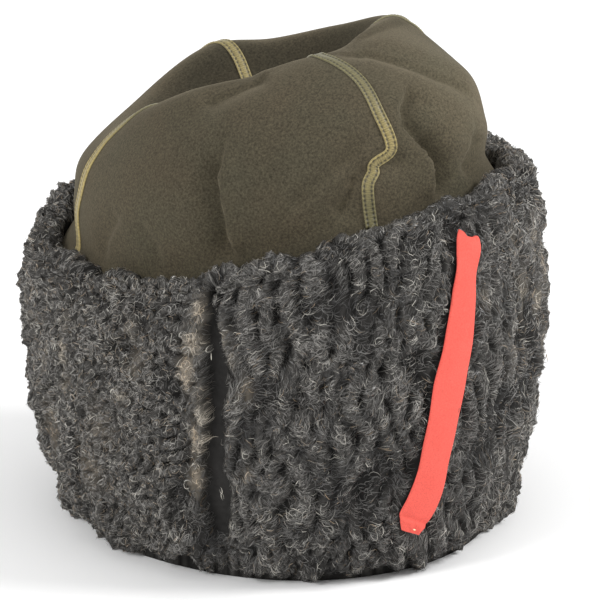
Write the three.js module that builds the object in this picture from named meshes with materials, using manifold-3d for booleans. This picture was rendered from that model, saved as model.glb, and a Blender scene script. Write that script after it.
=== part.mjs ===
// A kubanka: a tall band of curled lamb fur round a soft cloth crown, puffed into a ring round a
// sunken middle. Two narrow braids cross on the crown, and a ribbon is sewn to the front of the fur.
// Millimetres, +Z up. The origin is on the floor under the middle of the hat, and the ribbon is at
// the front, toward -Y. Turns are degrees round from the front, toward +X.
import * as THREE from 'three';
import Module from 'manifold-3d';

const wasm = await Module();
wasm.setup();

// Driving sizes
const HEAD_WIDTH = 170;
const HEAD_LENGTH = 198;
const FUR_DEPTH = 18;
const BAND_HEIGHT = 137;
const CROWN_RISE = 68;
const CLOTH_THICKNESS = 1.8;
const CLOTH_TUCK = 22;
const SEAT_DROP = 12;
const FOOT_RING = 3.5;
const FOOT_ROUND_WIDTH = 8;
const FOOT_ROUND_HEIGHT = 10;
const ROLL_DRAW = 2.6;
const LOCK_WIDTH = 22;
const LOCK_LENGTH = 20;
const LOCK_RELIEF = 3.4;
const SEAM_WIDTH = 6;
const SEAM_DEPTH = 6;
const BRAID_WIDTH = 6;
const BRAID_THICKNESS = 0.9;
const RIBBON_WIDTH = 13.5;
const RIBBON_THICKNESS = 0.8;
const RIBBON_PRESS = 2.4;

// Clearances
const SEAT_GAP = 0.3;

// Steps of the faceted surfaces. FOOT_ROUND_STEP is where the one ring inside the foot's rounding
// lies, a share of its height.
const STEPS_PER_LOCK = 3;
const FOOT_ROUND_STEP = 0.45;
const CROWN_COLUMNS = 56;
const CROWN_STEPS = 12;
const INNER_WALL_STEPS = 3;
const BRAID_STEP = 11;

// The fur band, a row for each twelfth of a turn from FIRST_TURN. height is a share of
// BAND_HEIGHT, and draw is how far the foot draws in, a share of FUR_DEPTH.
const FIRST_TURN = -37;
const BAND_COLUMNS = ['height', 'draw'];
const BAND_ROWS = [
  [1.04, 0.94], [1.13, 1.00], [1.16, 1.00], [1.10, 0.94], [1.06, 0.83], [1.015, 0.72],
  [0.985, 0.72], [0.94, 0.72], [0.905, 0.72], [0.875, 0.78], [0.88, 0.75], [0.93, 0.88],
];
// The draw fades out at this share of the band's height outside, and at this one inside.
const DRAW_REACH_OUTSIDE = 0.6;
const DRAW_REACH_INSIDE = 0.33;

// The crown, a row for each twelfth of a turn from FIRST_TURN. Each section runs from the top edge
// of the fur over its belly, shoulder and ridge to the floor of the sunken middle. A radius is a
// share of the head oval's own radius there, and a rise is a share of the way from the top of the
// fur there up to the top of the crown.
const CROWN_SECTION = [
  'rimR', 'bellyR', 'bellyZ', 'shoulderR', 'shoulderZ', 'ridgeR', 'ridgeZ', 'floorR', 'floorZ',
];
const CROWN_ROWS = [
  [0.955, 0.96, 0.37, 0.79, 0.76, 0.48, 0.94, 0.21, 0.60],
  [0.955, 0.92, 0.345, 0.81, 0.78, 0.49, 1.02, 0.22, 0.62],
  [0.955, 0.95, 0.33, 0.81, 0.79, 0.45, 1.02, 0.25, 0.63],
  [0.895, 0.91, 0.25, 0.845, 0.64, 0.49, 0.99, 0.27, 0.69],
  [0.955, 0.93, 0.28, 0.82, 0.68, 0.60, 0.92, 0.33, 0.52],
  [0.955, 0.95, 0.32, 0.78, 0.65, 0.58, 0.79, 0.35, 0.50],
  [0.955, 0.92, 0.29, 0.73, 0.60, 0.49, 0.72, 0.32, 0.53],
  [0.955, 0.88, 0.28, 0.71, 0.58, 0.49, 0.74, 0.30, 0.55],
  [0.905, 0.85, 0.22, 0.77, 0.42, 0.59, 0.56, 0.35, 0.49],
  [0.94, 0.93, 0.20, 0.885, 0.38, 0.67, 0.54, 0.36, 0.53],
  [0.955, 0.95, 0.29, 0.85, 0.54, 0.67, 0.72, 0.35, 0.59],
  [0.955, 0.97, 0.36, 0.83, 0.68, 0.60, 0.87, 0.28, 0.63],
];
// Where along a section, from 0 at the fur to 1 at the middle, each of its points lies.
const SECTION_KNOTS = [0, 0.2, 0.42, 0.62, 0.82, 1];
// The cloth goes on below the top of the fur: to the seat on the inner wall, and on to the hem.
const SEAT_PLACE = -0.5;
const HEM_PLACE = -1;
const MIDDLE_RISE = 0.515;
const LAST_RING = 0.95;

// Folds of the cloth: a path of turns from FIRST_TURN and places along the section, with the
// depth and half width as shares of CROWN_RISE.
const FOLDS = {
  front_pleat: { path: [[344, 0.24], [345, 0.16], [346, 0.02]], depth: 0.07, width: 0.10 },
  side_valley: { path: [[42, 0.43], [34, 0.38], [30, 0.30], [34, 0.22]], depth: 0.08, width: 0.13 },
  side_tuck: { path: [[34, 0.22], [36, 0.13], [38, 0.0]], depth: 0.11, width: 0.13 },
  slanting_dent: { path: [[2, 0.09], [8, 0.19], [16, 0.25]], depth: 0.045, width: 0.10 },
  dent_by_braid: { path: [[14, 0.02], [16, 0.10], [20, 0.16]], depth: 0.045, width: 0.10 },
  ridge_trough: { path: [[334, 0.50], [344, 0.54], [356, 0.56]], depth: 0.06, width: 0.12 },
  peak_trough: { path: [[34, 0.59], [50, 0.57], [70, 0.55], [82, 0.50]], depth: 0.05, width: 0.10 },
};

// The braids' paths over the crown: turns from FIRST_TURN and places along the section. Both
// cross at the middle, where the second one passes over the first.
const BRAID_PATHS = {
  braid_side: [
    [282, -0.2], [280, 0.11], [283, 0.25], [284.5, 0.40], [286, 0.50], [293, 0.57], [301, 0.68],
    [298, 0.84], [0, 1], [100, 0.84], [103, 0.68], [110, 0.57], [117, 0.42], [118, 0.2], [117, -0.2],
  ],
  braid_front: [
    [22, -0.2], [22, 0.13], [24.5, 0.19], [29.5, 0.24], [28, 0.38], [27.5, 0.49], [22, 0.61],
    [24, 0.84], [0, 1], [200, 0.84], [202, 0.70], [206, 0.58], [208, 0.42], [208, 0.2], [208, -0.2],
  ],
};

// The ribbon's path down the fur. height is a share of the band's height there, turn is in
// degrees from the front, and width is a share of RIBBON_WIDTH.
const RIBBON_COLUMNS = ['height', 'turn', 'width'];
const RIBBON_ROWS = [
  [0.16, -10, 1], [0.27, -6.6, 1], [0.385, -5.4, 1], [0.52, -3.3, 1], [0.655, -0.3, 1],
  [0.77, 1.2, 1], [0.85, 2.4, 0.9], [0.91, 3.0, 0.6],
];
const RIBBON_MEAN_TURN = -3.5;

// The sewn seam of the pelt, a furrow down the fur.
const SEAM_TURN = -52;
const SEAM_FOOT = 0.18;
const SEAM_TOP = 0.99;

const ROLL_RADIUS = (FUR_DEPTH - ROLL_DRAW) / 2;
// The columns of locks wave from side to side by this share of a lock. Near the ribbon they run
// beside it and near the seam they run straight, within these many degrees.
const WAVE_SWING = 0.22;
const WAVES_UP_THE_BAND = 1.5;
const WAVES_ROUND_THE_BAND = 5;
const RIBBON_SWEEP = 45;
const SEAM_SWEEP = 22.5;
// Where one lock ends and the next begins the press is this share of the relief.
const PINCH = 0.6;
// The pressed bed reaches past the ribbon by this many columns, and by these shares of the height.
const BED_MARGIN = 1.1;
const BED_BELOW = 0.07;
const BED_ABOVE = 0.035;
// The walls that the braids are cut from reach this many layers of braid up and down.
const WALL_LAYERS = 3;

const radians = THREE.MathUtils.degToRad;

// The distance from the middle to an oval with these half widths, at a turn in radians.
function ovalRadius(halfWidth, halfLength, turn) {
  return 1 / Math.hypot(Math.sin(turn) / halfWidth, Math.cos(turn) / halfLength);
}

function headRadius(turn) {
  return ovalRadius(HEAD_WIDTH / 2, HEAD_LENGTH / 2, turn);
}

function furRadius(turn) {
  return ovalRadius(HEAD_WIDTH / 2 + FUR_DEPTH, HEAD_LENGTH / 2 + FUR_DEPTH, turn);
}

function smoothCubic(a, b, c, d, t) {
  const linear = (c - a) * t;
  const square = (2 * a - 5 * b + 4 * c - d) * t * t;
  const cube = (3 * b - a - 3 * c + d) * t * t * t;
  return b + (linear + square + cube) / 2;
}

// One column of a table whose rows go round the hat, at a turn in radians.
function aroundTable(rows, column, turn) {
  const place = ((turn - radians(FIRST_TURN)) / (2 * Math.PI)) * rows.length;
  const whole = Math.floor(place);
  const value = (step) => rows[THREE.MathUtils.euclideanModulo(whole + step, rows.length)][column];
  return smoothCubic(value(-1), value(0), value(1), value(2), place - whole);
}

// One column of a table whose first column rises, at a value of that column.
function alongTable(rows, column, value) {
  const clamped = THREE.MathUtils.clamp(value, rows[0][0], rows[rows.length - 1][0]);
  const next = Math.max(1, rows.findIndex((row) => row[0] >= clamped));
  const [before, after] = [rows[next - 1], rows[next]];
  const share = (clamped - before[0]) / (after[0] - before[0]);
  return before[column] + (after[column] - before[column]) * share;
}

function bandHeight(turn) {
  return BAND_HEIGHT * aroundTable(BAND_ROWS, BAND_COLUMNS.indexOf('height'), turn);
}

function footDraw(turn) {
  return FUR_DEPTH * aroundTable(BAND_ROWS, BAND_COLUMNS.indexOf('draw'), turn);
}

function ribbonTurn(height) {
  return radians(alongTable(RIBBON_ROWS, RIBBON_COLUMNS.indexOf('turn'), height));
}

function ribbonWidth(height) {
  return RIBBON_WIDTH * alongTable(RIBBON_ROWS, RIBBON_COLUMNS.indexOf('width'), height);
}

function onPlan(turn, radius, height) {
  return new THREE.Vector3(radius * Math.sin(turn), -radius * Math.cos(turn), height);
}

function turnBetween(turn, other) {
  return THREE.MathUtils.euclideanModulo(turn - other + Math.PI, 2 * Math.PI) - Math.PI;
}

// How far the fur's smooth outside stands inside the fur's own oval, at a height.
function outsideInset(turn, height) {
  const full = bandHeight(turn);
  const share = height / full;
  const drawn = Math.max(0, 1 - share / DRAW_REACH_OUTSIDE) ** 2;
  const rolled = Math.max(0, (share - DRAW_REACH_OUTSIDE) / (1 - DRAW_REACH_OUTSIDE)) ** 2;
  const round = Math.max(0, 1 - height / FOOT_ROUND_HEIGHT);
  const footRound = FOOT_ROUND_WIDTH * (1 - Math.sqrt(1 - round * round));
  return footDraw(turn) * drawn + ROLL_DRAW * rolled + footRound;
}

// How far the inner wall stands inside the head oval, at a height.
function insideInset(turn, height) {
  const share = height / bandHeight(turn);
  const atFoot = footDraw(turn) + FOOT_ROUND_WIDTH + FOOT_RING - FUR_DEPTH;
  return atFoot * Math.max(0, 1 - share / DRAW_REACH_INSIDE) ** 2;
}

// The stations of the band's outline, from the outer edge of the flat foot, up the outside, over
// the rolled top and down the inner wall. Each gives its kind and its share of that stretch.
function bandStations() {
  const stations = [{ kind: 'round', share: 0 }, { kind: 'round', share: FOOT_ROUND_STEP }];
  const locks = Math.round((BAND_HEIGHT - FOOT_ROUND_HEIGHT - ROLL_RADIUS) / LOCK_LENGTH);
  const faceSteps = STEPS_PER_LOCK * locks;
  for (let step = 0; step < faceSteps; step += 1) {
    stations.push({ kind: 'face', share: step / faceSteps });
  }
  for (let step = 0; step < 2 * STEPS_PER_LOCK; step += 1) {
    stations.push({ kind: 'roll', share: step / (2 * STEPS_PER_LOCK) });
  }
  for (let step = 0; step <= INNER_WALL_STEPS; step += 1) {
    stations.push({ kind: 'wall', share: step / INNER_WALL_STEPS });
  }
  return stations;
}

// The radius and height of a station at a turn, pressed inward by a depth.
function bandOutline(turn, station, depth) {
  const rollFoot = bandHeight(turn) - ROLL_RADIUS;
  if (station.kind === 'round' || station.kind === 'face') {
    const height = station.kind === 'round'
      ? FOOT_ROUND_HEIGHT * station.share
      : FOOT_ROUND_HEIGHT + (rollFoot - FOOT_ROUND_HEIGHT) * station.share;
    return { radius: furRadius(turn) - outsideInset(turn, height) - depth, height };
  }
  if (station.kind === 'roll') {
    const swing = Math.PI * station.share;
    const middle = furRadius(turn) - ROLL_DRAW - ROLL_RADIUS;
    return {
      radius: middle + (ROLL_RADIUS - depth) * Math.cos(swing),
      height: rollFoot + (ROLL_RADIUS - depth) * Math.sin(swing),
    };
  }
  const height = rollFoot * (1 - station.share);
  return { radius: headRadius(turn) - insideInset(turn, height), height };
}

function bell(distance, width) {
  return Math.exp(-((distance / width) ** 2));
}

// The curled locks stand between pressed lines: each third column and each third row of the
// outline is pressed in, and neighbouring columns of locks are set half a lock apart.
function lockDepth(column, row) {
  const strip = Math.floor(column / STEPS_PER_LOCK);
  const onEdge = column % STEPS_PER_LOCK === 0;
  const onPinch = (row + strip * 2) % STEPS_PER_LOCK === 0;
  if (onEdge) return LOCK_RELIEF;
  return onPinch ? LOCK_RELIEF * PINCH : 0;
}

function buildFurBand() {
  const meanRadius = (HEAD_WIDTH + HEAD_LENGTH) / 4 + FUR_DEPTH;
  const locks = Math.round((2 * Math.PI * meanRadius) / LOCK_WIDTH);
  const columns = locks * STEPS_PER_LOCK;
  const stations = bandStations();
  const rings = stations.map((station, row) => {
    return Array.from({ length: columns }, (_, column) => {
      const plain = radians(SEAM_TURN) + (2 * Math.PI * column) / columns;
      const turn = station.kind === 'wall' ? plain : lockTurn(plain, station, locks);
      return furVertex(turn, station, column, row, columns);
    });
  });
  return meshFromRings(rings, true);
}

// Where a line between the columns of locks stands at a station, from its turn on a plain band.
function lockTurn(plain, station, locks) {
  const height = bandOutline(plain, station, 0).height / bandHeight(plain);
  const fromRibbon = turnBetween(plain, radians(RIBBON_MEAN_TURN));
  const fromSeam = turnBetween(plain, radians(SEAM_TURN));
  const follow = bell(fromRibbon, radians(RIBBON_SWEEP));
  const free = (1 - bell(fromSeam, radians(SEAM_SWEEP))) * (1 - follow);
  const round = WAVES_ROUND_THE_BAND * THREE.MathUtils.euclideanModulo(fromSeam, 2 * Math.PI);
  const wave = WAVE_SWING * Math.sin(2 * Math.PI * height * WAVES_UP_THE_BAND + round);
  const lockWidth = (2 * Math.PI) / locks;
  return plain + follow * (ribbonTurn(height) - radians(RIBBON_MEAN_TURN)) + free * wave * lockWidth;
}

function furVertex(turn, station, column, row, columns) {
  const flat = bandOutline(turn, station, 0);
  if (station.kind === 'wall' || row === 0) return onPlan(turn, flat.radius, flat.height);
  const share = flat.height / bandHeight(turn);
  const inward = station.kind === 'roll' ? (Math.cos(Math.PI * station.share) + 1) / 2 : 1;
  const seamHere = share > SEAM_FOOT && share < SEAM_TOP ? 1 : 0;
  const fromSeam = Math.abs(turnBetween(turn, radians(SEAM_TURN))) * flat.radius;
  const inBed = onRibbonBed(turn, station, share, flat.radius, columns);
  const lock = inBed ? RIBBON_PRESS : lockDepth(column, row) * inward;
  const furrow = seamHere * SEAM_DEPTH * bell(fromSeam, SEAM_WIDTH) * inward;
  const pressed = bandOutline(turn, station, lock + furrow);
  return onPlan(turn, pressed.radius, pressed.height);
}

function onRibbonBed(turn, station, share, radius, columns) {
  const outside = station.kind !== 'roll' || station.share < 1 / 2;
  const across = Math.abs(turnBetween(turn, ribbonTurn(share))) * radius;
  const edge = RIBBON_WIDTH / 2 + (BED_MARGIN * 2 * Math.PI * radius) / columns;
  const foot = RIBBON_ROWS[0][0] - BED_BELOW;
  const top = RIBBON_ROWS[RIBBON_ROWS.length - 1][0] + BED_ABOVE;
  return outside && across <= edge && share > foot && share < top;
}

// Rings of vertices joined to a closed mesh: to a tube that closes on itself, or, where only one
// vertex is left in the first or last ring, to a cap.
function meshFromRings(rings, closeEnds) {
  const positions = [];
  const starts = rings.map((ring) => {
    const start = positions.length / 3;
    ring.forEach((vertex) => positions.push(vertex.x, vertex.y, vertex.z));
    return start;
  });
  const index = [];
  const joined = closeEnds ? rings.length : rings.length - 1;
  for (let row = 0; row < joined; row += 1) {
    const upper = (row + 1) % rings.length;
    const count = Math.max(rings[row].length, rings[upper].length);
    for (let column = 0; column < count; column += 1) {
      const next = (column + 1) % count;
      const a = starts[row] + (rings[row].length > 1 ? column : 0);
      const b = starts[row] + (rings[row].length > 1 ? next : 0);
      const c = starts[upper] + (rings[upper].length > 1 ? next : 0);
      const d = starts[upper] + (rings[upper].length > 1 ? column : 0);
      if (a !== b) index.push(a, b, c);
      if (c !== d) index.push(a, c, d);
    }
  }
  const geometry = new THREE.BufferGeometry();
  geometry.setAttribute('position', new THREE.Float32BufferAttribute(positions, 3));
  geometry.setIndex(index);
  geometry.computeVertexNormals();
  return geometry;
}

// The points of the crown's section at a turn, as [radius, height], with one more before the first
// and after the last for the curve to follow.
function crownControls(turn) {
  const head = headRadius(turn);
  const fur = bandHeight(turn);
  const way = BAND_HEIGHT + CROWN_RISE - fur;
  const value = (name) => aroundTable(CROWN_ROWS, CROWN_SECTION.indexOf(name), turn);
  const point = (name) => [head * value(`${name}R`), fur + way * value(`${name}Z`)];
  const floor = point('floor');
  return [
    [head - SEAT_GAP, fur - SEAT_DROP],
    [head * value('rimR'), fur],
    point('belly'),
    point('shoulder'),
    point('ridge'),
    floor,
    [0, BAND_HEIGHT + MIDDLE_RISE * CROWN_RISE],
    [-floor[0], floor[1]],
  ];
}

// A point of the smooth crown at a turn in radians. place runs from the hem inside the fur, over
// the seat on the inner wall, to 0 at the top of the fur and 1 in the middle.
function crownPoint(turn, place) {
  const controls = crownControls(turn);
  if (place <= SEAT_PLACE) {
    const share = (place - SEAT_PLACE) / (HEM_PLACE - SEAT_PLACE);
    const [radius, height] = controls[0];
    return onPlan(turn, radius, height - (CLOTH_TUCK - SEAT_DROP) * share);
  }
  if (place < 0) {
    const share = place / SEAT_PLACE;
    const [rim, seat] = [controls[1], controls[0]];
    return onPlan(turn, rim[0] + (seat[0] - rim[0]) * share, rim[1] + (seat[1] - rim[1]) * share);
  }
  const last = SECTION_KNOTS.length - 2;
  const knot = Math.min(last, SECTION_KNOTS.findLastIndex((value) => value <= place));
  const t = (place - SECTION_KNOTS[knot]) / (SECTION_KNOTS[knot + 1] - SECTION_KNOTS[knot]);
  const [a, b, c, d] = controls.slice(knot, knot + 4);
  return onPlan(turn, smoothCubic(a[0], b[0], c[0], d[0], t), smoothCubic(a[1], b[1], c[1], d[1], t));
}

// How deep the folds press the cloth in at a point.
function foldDepth(point, foldPaths) {
  return foldPaths.reduce((sum, fold) => {
    const nearest = Math.min(...fold.stretches.map((stretch) => {
      return stretch.closestPointToPoint(point, true, new THREE.Vector3()).distanceTo(point);
    }));
    return sum + fold.depth * CROWN_RISE * bell(nearest, fold.width * CROWN_RISE);
  }, 0);
}

function foldStretches() {
  return Object.values(FOLDS).map((fold) => {
    const points = fold.path.map(([turn, place]) => crownPoint(radians(FIRST_TURN + turn), place));
    const stretches = points.slice(1).map((point, step) => new THREE.Line3(points[step], point));
    return { ...fold, stretches };
  });
}

// The crown's outer surface with its folds, in rings from the hem to the middle.
function crownRings() {
  const places = [HEM_PLACE, SEAT_PLACE];
  for (let step = 0; step <= CROWN_STEPS; step += 1) places.push((LAST_RING * step) / CROWN_STEPS);
  const turnAt = (column) => radians(FIRST_TURN) + (2 * Math.PI * column) / CROWN_COLUMNS;
  const smooth = places.map((place) => {
    return Array.from({ length: CROWN_COLUMNS }, (_, column) => crownPoint(turnAt(column), place));
  });
  const foldPaths = foldStretches();
  return smooth.map((ring, row) => ring.map((point, column) => {
    if (places[row] <= 0) return point;
    const normal = ringNormal(smooth, row, column);
    return point.clone().addScaledVector(normal, -foldDepth(point, foldPaths));
  }));
}

function buildCrown(outer) {
  const inner = outer.map((ring, row) => ring.map((point, column) => {
    return point.clone().addScaledVector(ringNormal(outer, row, column), -CLOTH_THICKNESS);
  }));
  const middle = crownPoint(0, 1);
  const under = middle.clone().setZ(middle.z - CLOTH_THICKNESS);
  return meshFromRings([...outer, [middle], [under], ...inner.reverse()], true);
}

function ringNormal(rings, row, column) {
  const count = rings[row].length;
  const before = rings[row][(column + count - 1) % count];
  const after = rings[row][(column + 1) % count];
  const below = rings[Math.max(0, row - 1)][column];
  const above = rings[Math.min(rings.length - 1, row + 1)][column];
  return after.clone().sub(before).cross(above.clone().sub(below)).normalize();
}

// The facets of the crown between these outer rings and its middle, with the cloth's direction
// at each corner.
function outerFacets(crown, outer) {
  const position = crown.getAttribute('position');
  const normal = crown.getAttribute('normal');
  const outerVertices = outer.length * CROWN_COLUMNS + 1;
  const corners = crown.getIndex().array;
  const facets = [];
  for (let first = 0; first < corners.length; first += 3) {
    const numbers = [corners[first], corners[first + 1], corners[first + 2]];
    if (Math.max(...numbers) >= outerVertices) continue;
    const cornersOf = (attribute) => numbers.map((number) => {
      return new THREE.Vector3().fromBufferAttribute(attribute, number);
    });
    facets.push({ triangle: new THREE.Triangle(...cornersOf(position)), normals: cornersOf(normal) });
  }
  return facets;
}

function nearestOnCloth(facets, point) {
  let best = { distance: Infinity };
  facets.forEach(({ triangle, normals }) => {
    const touch = triangle.closestPointToPoint(point, new THREE.Vector3());
    const distance = touch.distanceTo(point);
    if (distance < best.distance) best = { distance, touch, triangle, normals };
  });
  const weights = best.triangle.getBarycoord(best.touch, new THREE.Vector3());
  const direction = new THREE.Vector3()
    .addScaledVector(best.normals[0], weights.x)
    .addScaledVector(best.normals[1], weights.y)
    .addScaledVector(best.normals[2], weights.z)
    .normalize();
  return { touch: best.touch, direction };
}

// A flat strip from its cross-sections, each with the four corners of the strip there.
function stripGeometry(sections) {
  const middleOf = ([first, , opposite]) => first.clone().lerp(opposite, 1 / 2);
  const start = [middleOf(sections[0])];
  const end = [middleOf(sections[sections.length - 1])];
  return meshFromRings([start, ...sections, end], false);
}

// A tall wall that stands on the crown's cloth along a braid's path, as wide as is asked, from
// under the cloth's surface to well above the braids.
function wallOnCloth(path, facets, width) {
  const points = path.map(([turn, place]) => crownPoint(radians(FIRST_TURN + turn), place));
  const curve = new THREE.CatmullRomCurve3(points);
  const steps = Math.round(curve.getLength() / BRAID_STEP);
  const reach = WALL_LAYERS * (SEAT_GAP + BRAID_THICKNESS);
  const centres = curve.getSpacedPoints(steps).map((point) => nearestOnCloth(facets, point));
  const sections = centres.map(({ touch, direction }, step) => {
    const before = centres[Math.max(0, step - 1)].touch;
    const after = centres[Math.min(steps, step + 1)].touch;
    const side = after.clone().sub(before).cross(direction).setLength(width / 2);
    const [right, left] = [touch.clone().add(side), touch.clone().sub(side)];
    const corners = [[left, reach], [right, reach], [right, -reach], [left, -reach]];
    return corners.map(([edge, out]) => edge.clone().addScaledVector(direction, out));
  });
  return solidOf(stripGeometry(sections));
}

function solidOf(geometry) {
  const vertProperties = Float32Array.from(geometry.getAttribute('position').array);
  const triVerts = Uint32Array.from(geometry.getIndex().array);
  return new wasm.Manifold(new wasm.Mesh({ numProp: 3, vertProperties, triVerts }));
}

function geometryOf(solid) {
  const { vertProperties, triVerts } = solid.getMesh();
  const geometry = new THREE.BufferGeometry();
  geometry.setAttribute('position', new THREE.Float32BufferAttribute(vertProperties, 3));
  geometry.setIndex(Array.from(triVerts));
  geometry.computeVertexNormals();
  return geometry;
}

// Everything under the crown's outer surface once that is moved outward by a distance.
function grownCloth(outer, distance) {
  const grown = outer.map((ring, row) => ring.map((point, column) => {
    return point.clone().addScaledVector(ringNormal(outer, row, column), distance);
  }));
  const middle = crownPoint(0, 1);
  const peg = middle.clone().setZ(middle.z + distance);
  return solidOf(meshFromRings([[middle.clone().setZ(outer[0][0].z)], ...grown, [peg]], false));
}

// Each braid lies at its gap over the cloth, and the second passes over the first with a gap too.
function buildBraids(outer, facets) {
  const [sidePath, frontPath] = [BRAID_PATHS.braid_side, BRAID_PATHS.braid_front];
  const layer = SEAT_GAP + BRAID_THICKNESS;
  const under = grownCloth(outer, SEAT_GAP);
  const skin = grownCloth(outer, layer);
  const clearance = wallOnCloth(sidePath, facets, BRAID_WIDTH + 2 * SEAT_GAP)
    .intersect(grownCloth(outer, layer + SEAT_GAP));
  const hump = wallOnCloth(sidePath, facets, BRAID_WIDTH + 2 * layer)
    .intersect(grownCloth(outer, 2 * layer));
  const side = wallOnCloth(sidePath, facets, BRAID_WIDTH).intersect(skin).subtract(under);
  const front = wallOnCloth(frontPath, facets, BRAID_WIDTH).intersect(skin.add(hump));
  return {
    braid_side: geometryOf(side),
    braid_front: geometryOf(front.subtract(under).subtract(clearance)),
  };
}

// The ribbon lies in the bed that is pressed for it in the fur, with a section at each row of the
// fur's outline between its two ends.
function buildRibbon() {
  const [low, high] = [RIBBON_ROWS[0][0], RIBBON_ROWS[RIBBON_ROWS.length - 1][0]];
  const middleTurn = radians(RIBBON_MEAN_TURN);
  const faceHeight = (share) => bandOutline(middleTurn, { kind: 'face', share }, 0).height;
  const faceShare = (share) => {
    const height = share * bandHeight(middleTurn);
    return (height - faceHeight(0)) / (faceHeight(1) - faceHeight(0));
  };
  const between = bandStations().filter(({ kind, share }) => {
    return kind === 'face' && share > faceShare(low) && share < faceShare(high);
  });
  const shares = [faceShare(low), ...between.map(({ share }) => share), faceShare(high)];
  const sections = shares.map((share) => {
    const station = { kind: 'face', share };
    const height = faceHeight(share) / bandHeight(middleTurn);
    const radius = bandOutline(ribbonTurn(height), station, 0).radius;
    const corners = [-1, 1].map((hand) => {
      const turn = ribbonTurn(height) + (hand * ribbonWidth(height)) / 2 / radius;
      const at = (out) => {
        const edge = bandOutline(turn, station, RIBBON_PRESS - SEAT_GAP - out);
        return onPlan(turn, edge.radius, edge.height);
      };
      return { base: at(0), top: at(RIBBON_THICKNESS) };
    });
    return [corners[0].top, corners[1].top, corners[1].base, corners[0].base];
  });
  return stripGeometry(sections);
}

const fur = new THREE.MeshStandardMaterial({ color: '#3c3d40', roughness: 0.85, metalness: 0 });
const wool = new THREE.MeshStandardMaterial({ color: '#4d4638', roughness: 0.95, metalness: 0 });
const galloon = new THREE.MeshStandardMaterial({ color: '#8f8350', roughness: 0.7, metalness: 0.1 });
const satin = new THREE.MeshStandardMaterial({ color: '#f2584f', roughness: 0.6, metalness: 0 });

function named(name, geometry, material) {
  const mesh = new THREE.Mesh(geometry, material);
  mesh.name = name;
  return mesh;
}

const rings = crownRings();
const crown = buildCrown(rings);
const braids = buildBraids(rings, outerFacets(crown, rings));
const hat = new THREE.Group();
hat.name = 'kubanka_hat';
hat.add(named('fur_band', buildFurBand(), fur));
hat.add(named('crown', crown, wool));
hat.add(named('braid_side', braids.braid_side, galloon));
hat.add(named('braid_front', braids.braid_front, galloon));
hat.add(named('ribbon', buildRibbon(), satin));

export default hat;
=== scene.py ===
"""A kubanka: curled lamb fur, milled wool cloth, two galloon braids and a sewn ribbon.

Sizes inside the making functions are millimetres, and every point is turned to metres when its
mesh is made. Turns are measured round from the front, toward +X.
"""
import math

import bpy
import numpy as np
from mathutils import Matrix, Vector
from mathutils.bvhtree import BVHTree


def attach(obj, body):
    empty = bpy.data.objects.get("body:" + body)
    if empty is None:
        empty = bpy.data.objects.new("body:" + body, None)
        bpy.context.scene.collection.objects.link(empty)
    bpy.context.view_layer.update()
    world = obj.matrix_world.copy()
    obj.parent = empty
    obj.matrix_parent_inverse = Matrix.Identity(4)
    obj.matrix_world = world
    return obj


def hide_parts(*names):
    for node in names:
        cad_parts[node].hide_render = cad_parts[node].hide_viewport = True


bl_info = {
    "name": "Kubanka Hat",
    "version": (1, 0, 0),
    "blender": (4, 5, 0),
    "location": "3D View > Sidebar > Kubanka",
    "description": "A lamb fur kubanka with a cloth crown, two braids and a ribbon",
    "category": "Add Mesh",
}

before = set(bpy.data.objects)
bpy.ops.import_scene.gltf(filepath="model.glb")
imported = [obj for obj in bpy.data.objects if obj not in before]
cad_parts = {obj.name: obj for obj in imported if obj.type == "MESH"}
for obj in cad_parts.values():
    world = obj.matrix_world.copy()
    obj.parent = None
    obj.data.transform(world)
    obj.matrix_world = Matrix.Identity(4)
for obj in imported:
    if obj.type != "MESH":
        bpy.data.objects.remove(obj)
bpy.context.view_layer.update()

MM = 0.001

# The hat's own sizes in millimetres, the same as those of the frame, and shares of them.
HEAD_WIDTH = 170
HEAD_LENGTH = 198
FUR_DEPTH = 18
BAND_HEIGHT = 137
CROWN_RISE = 68
CLOTH_TUCK = 22
SEAT_DROP = 12
SEAT_GAP = 0.3
FOOT_RING = 3.5
FOOT_ROUND_WIDTH = 8
FOOT_ROUND_HEIGHT = 10
ROLL_DRAW = 2.6
ROLL_RADIUS = (FUR_DEPTH - ROLL_DRAW) / 2
DRAW_REACH_OUTSIDE = 0.6
DRAW_REACH_INSIDE = 0.33
FIRST_TURN = -37

# A row for each twelfth of a turn from FIRST_TURN: the fur's height as a share of BAND_HEIGHT,
# and how far its foot draws in as a share of FUR_DEPTH.
BAND_ROWS = np.array([
    [1.04, 0.94], [1.13, 1.00], [1.16, 1.00], [1.10, 0.94], [1.06, 0.83], [1.015, 0.72],
    [0.985, 0.72], [0.94, 0.72], [0.905, 0.72], [0.875, 0.78], [0.88, 0.75], [0.93, 0.88],
])

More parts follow.
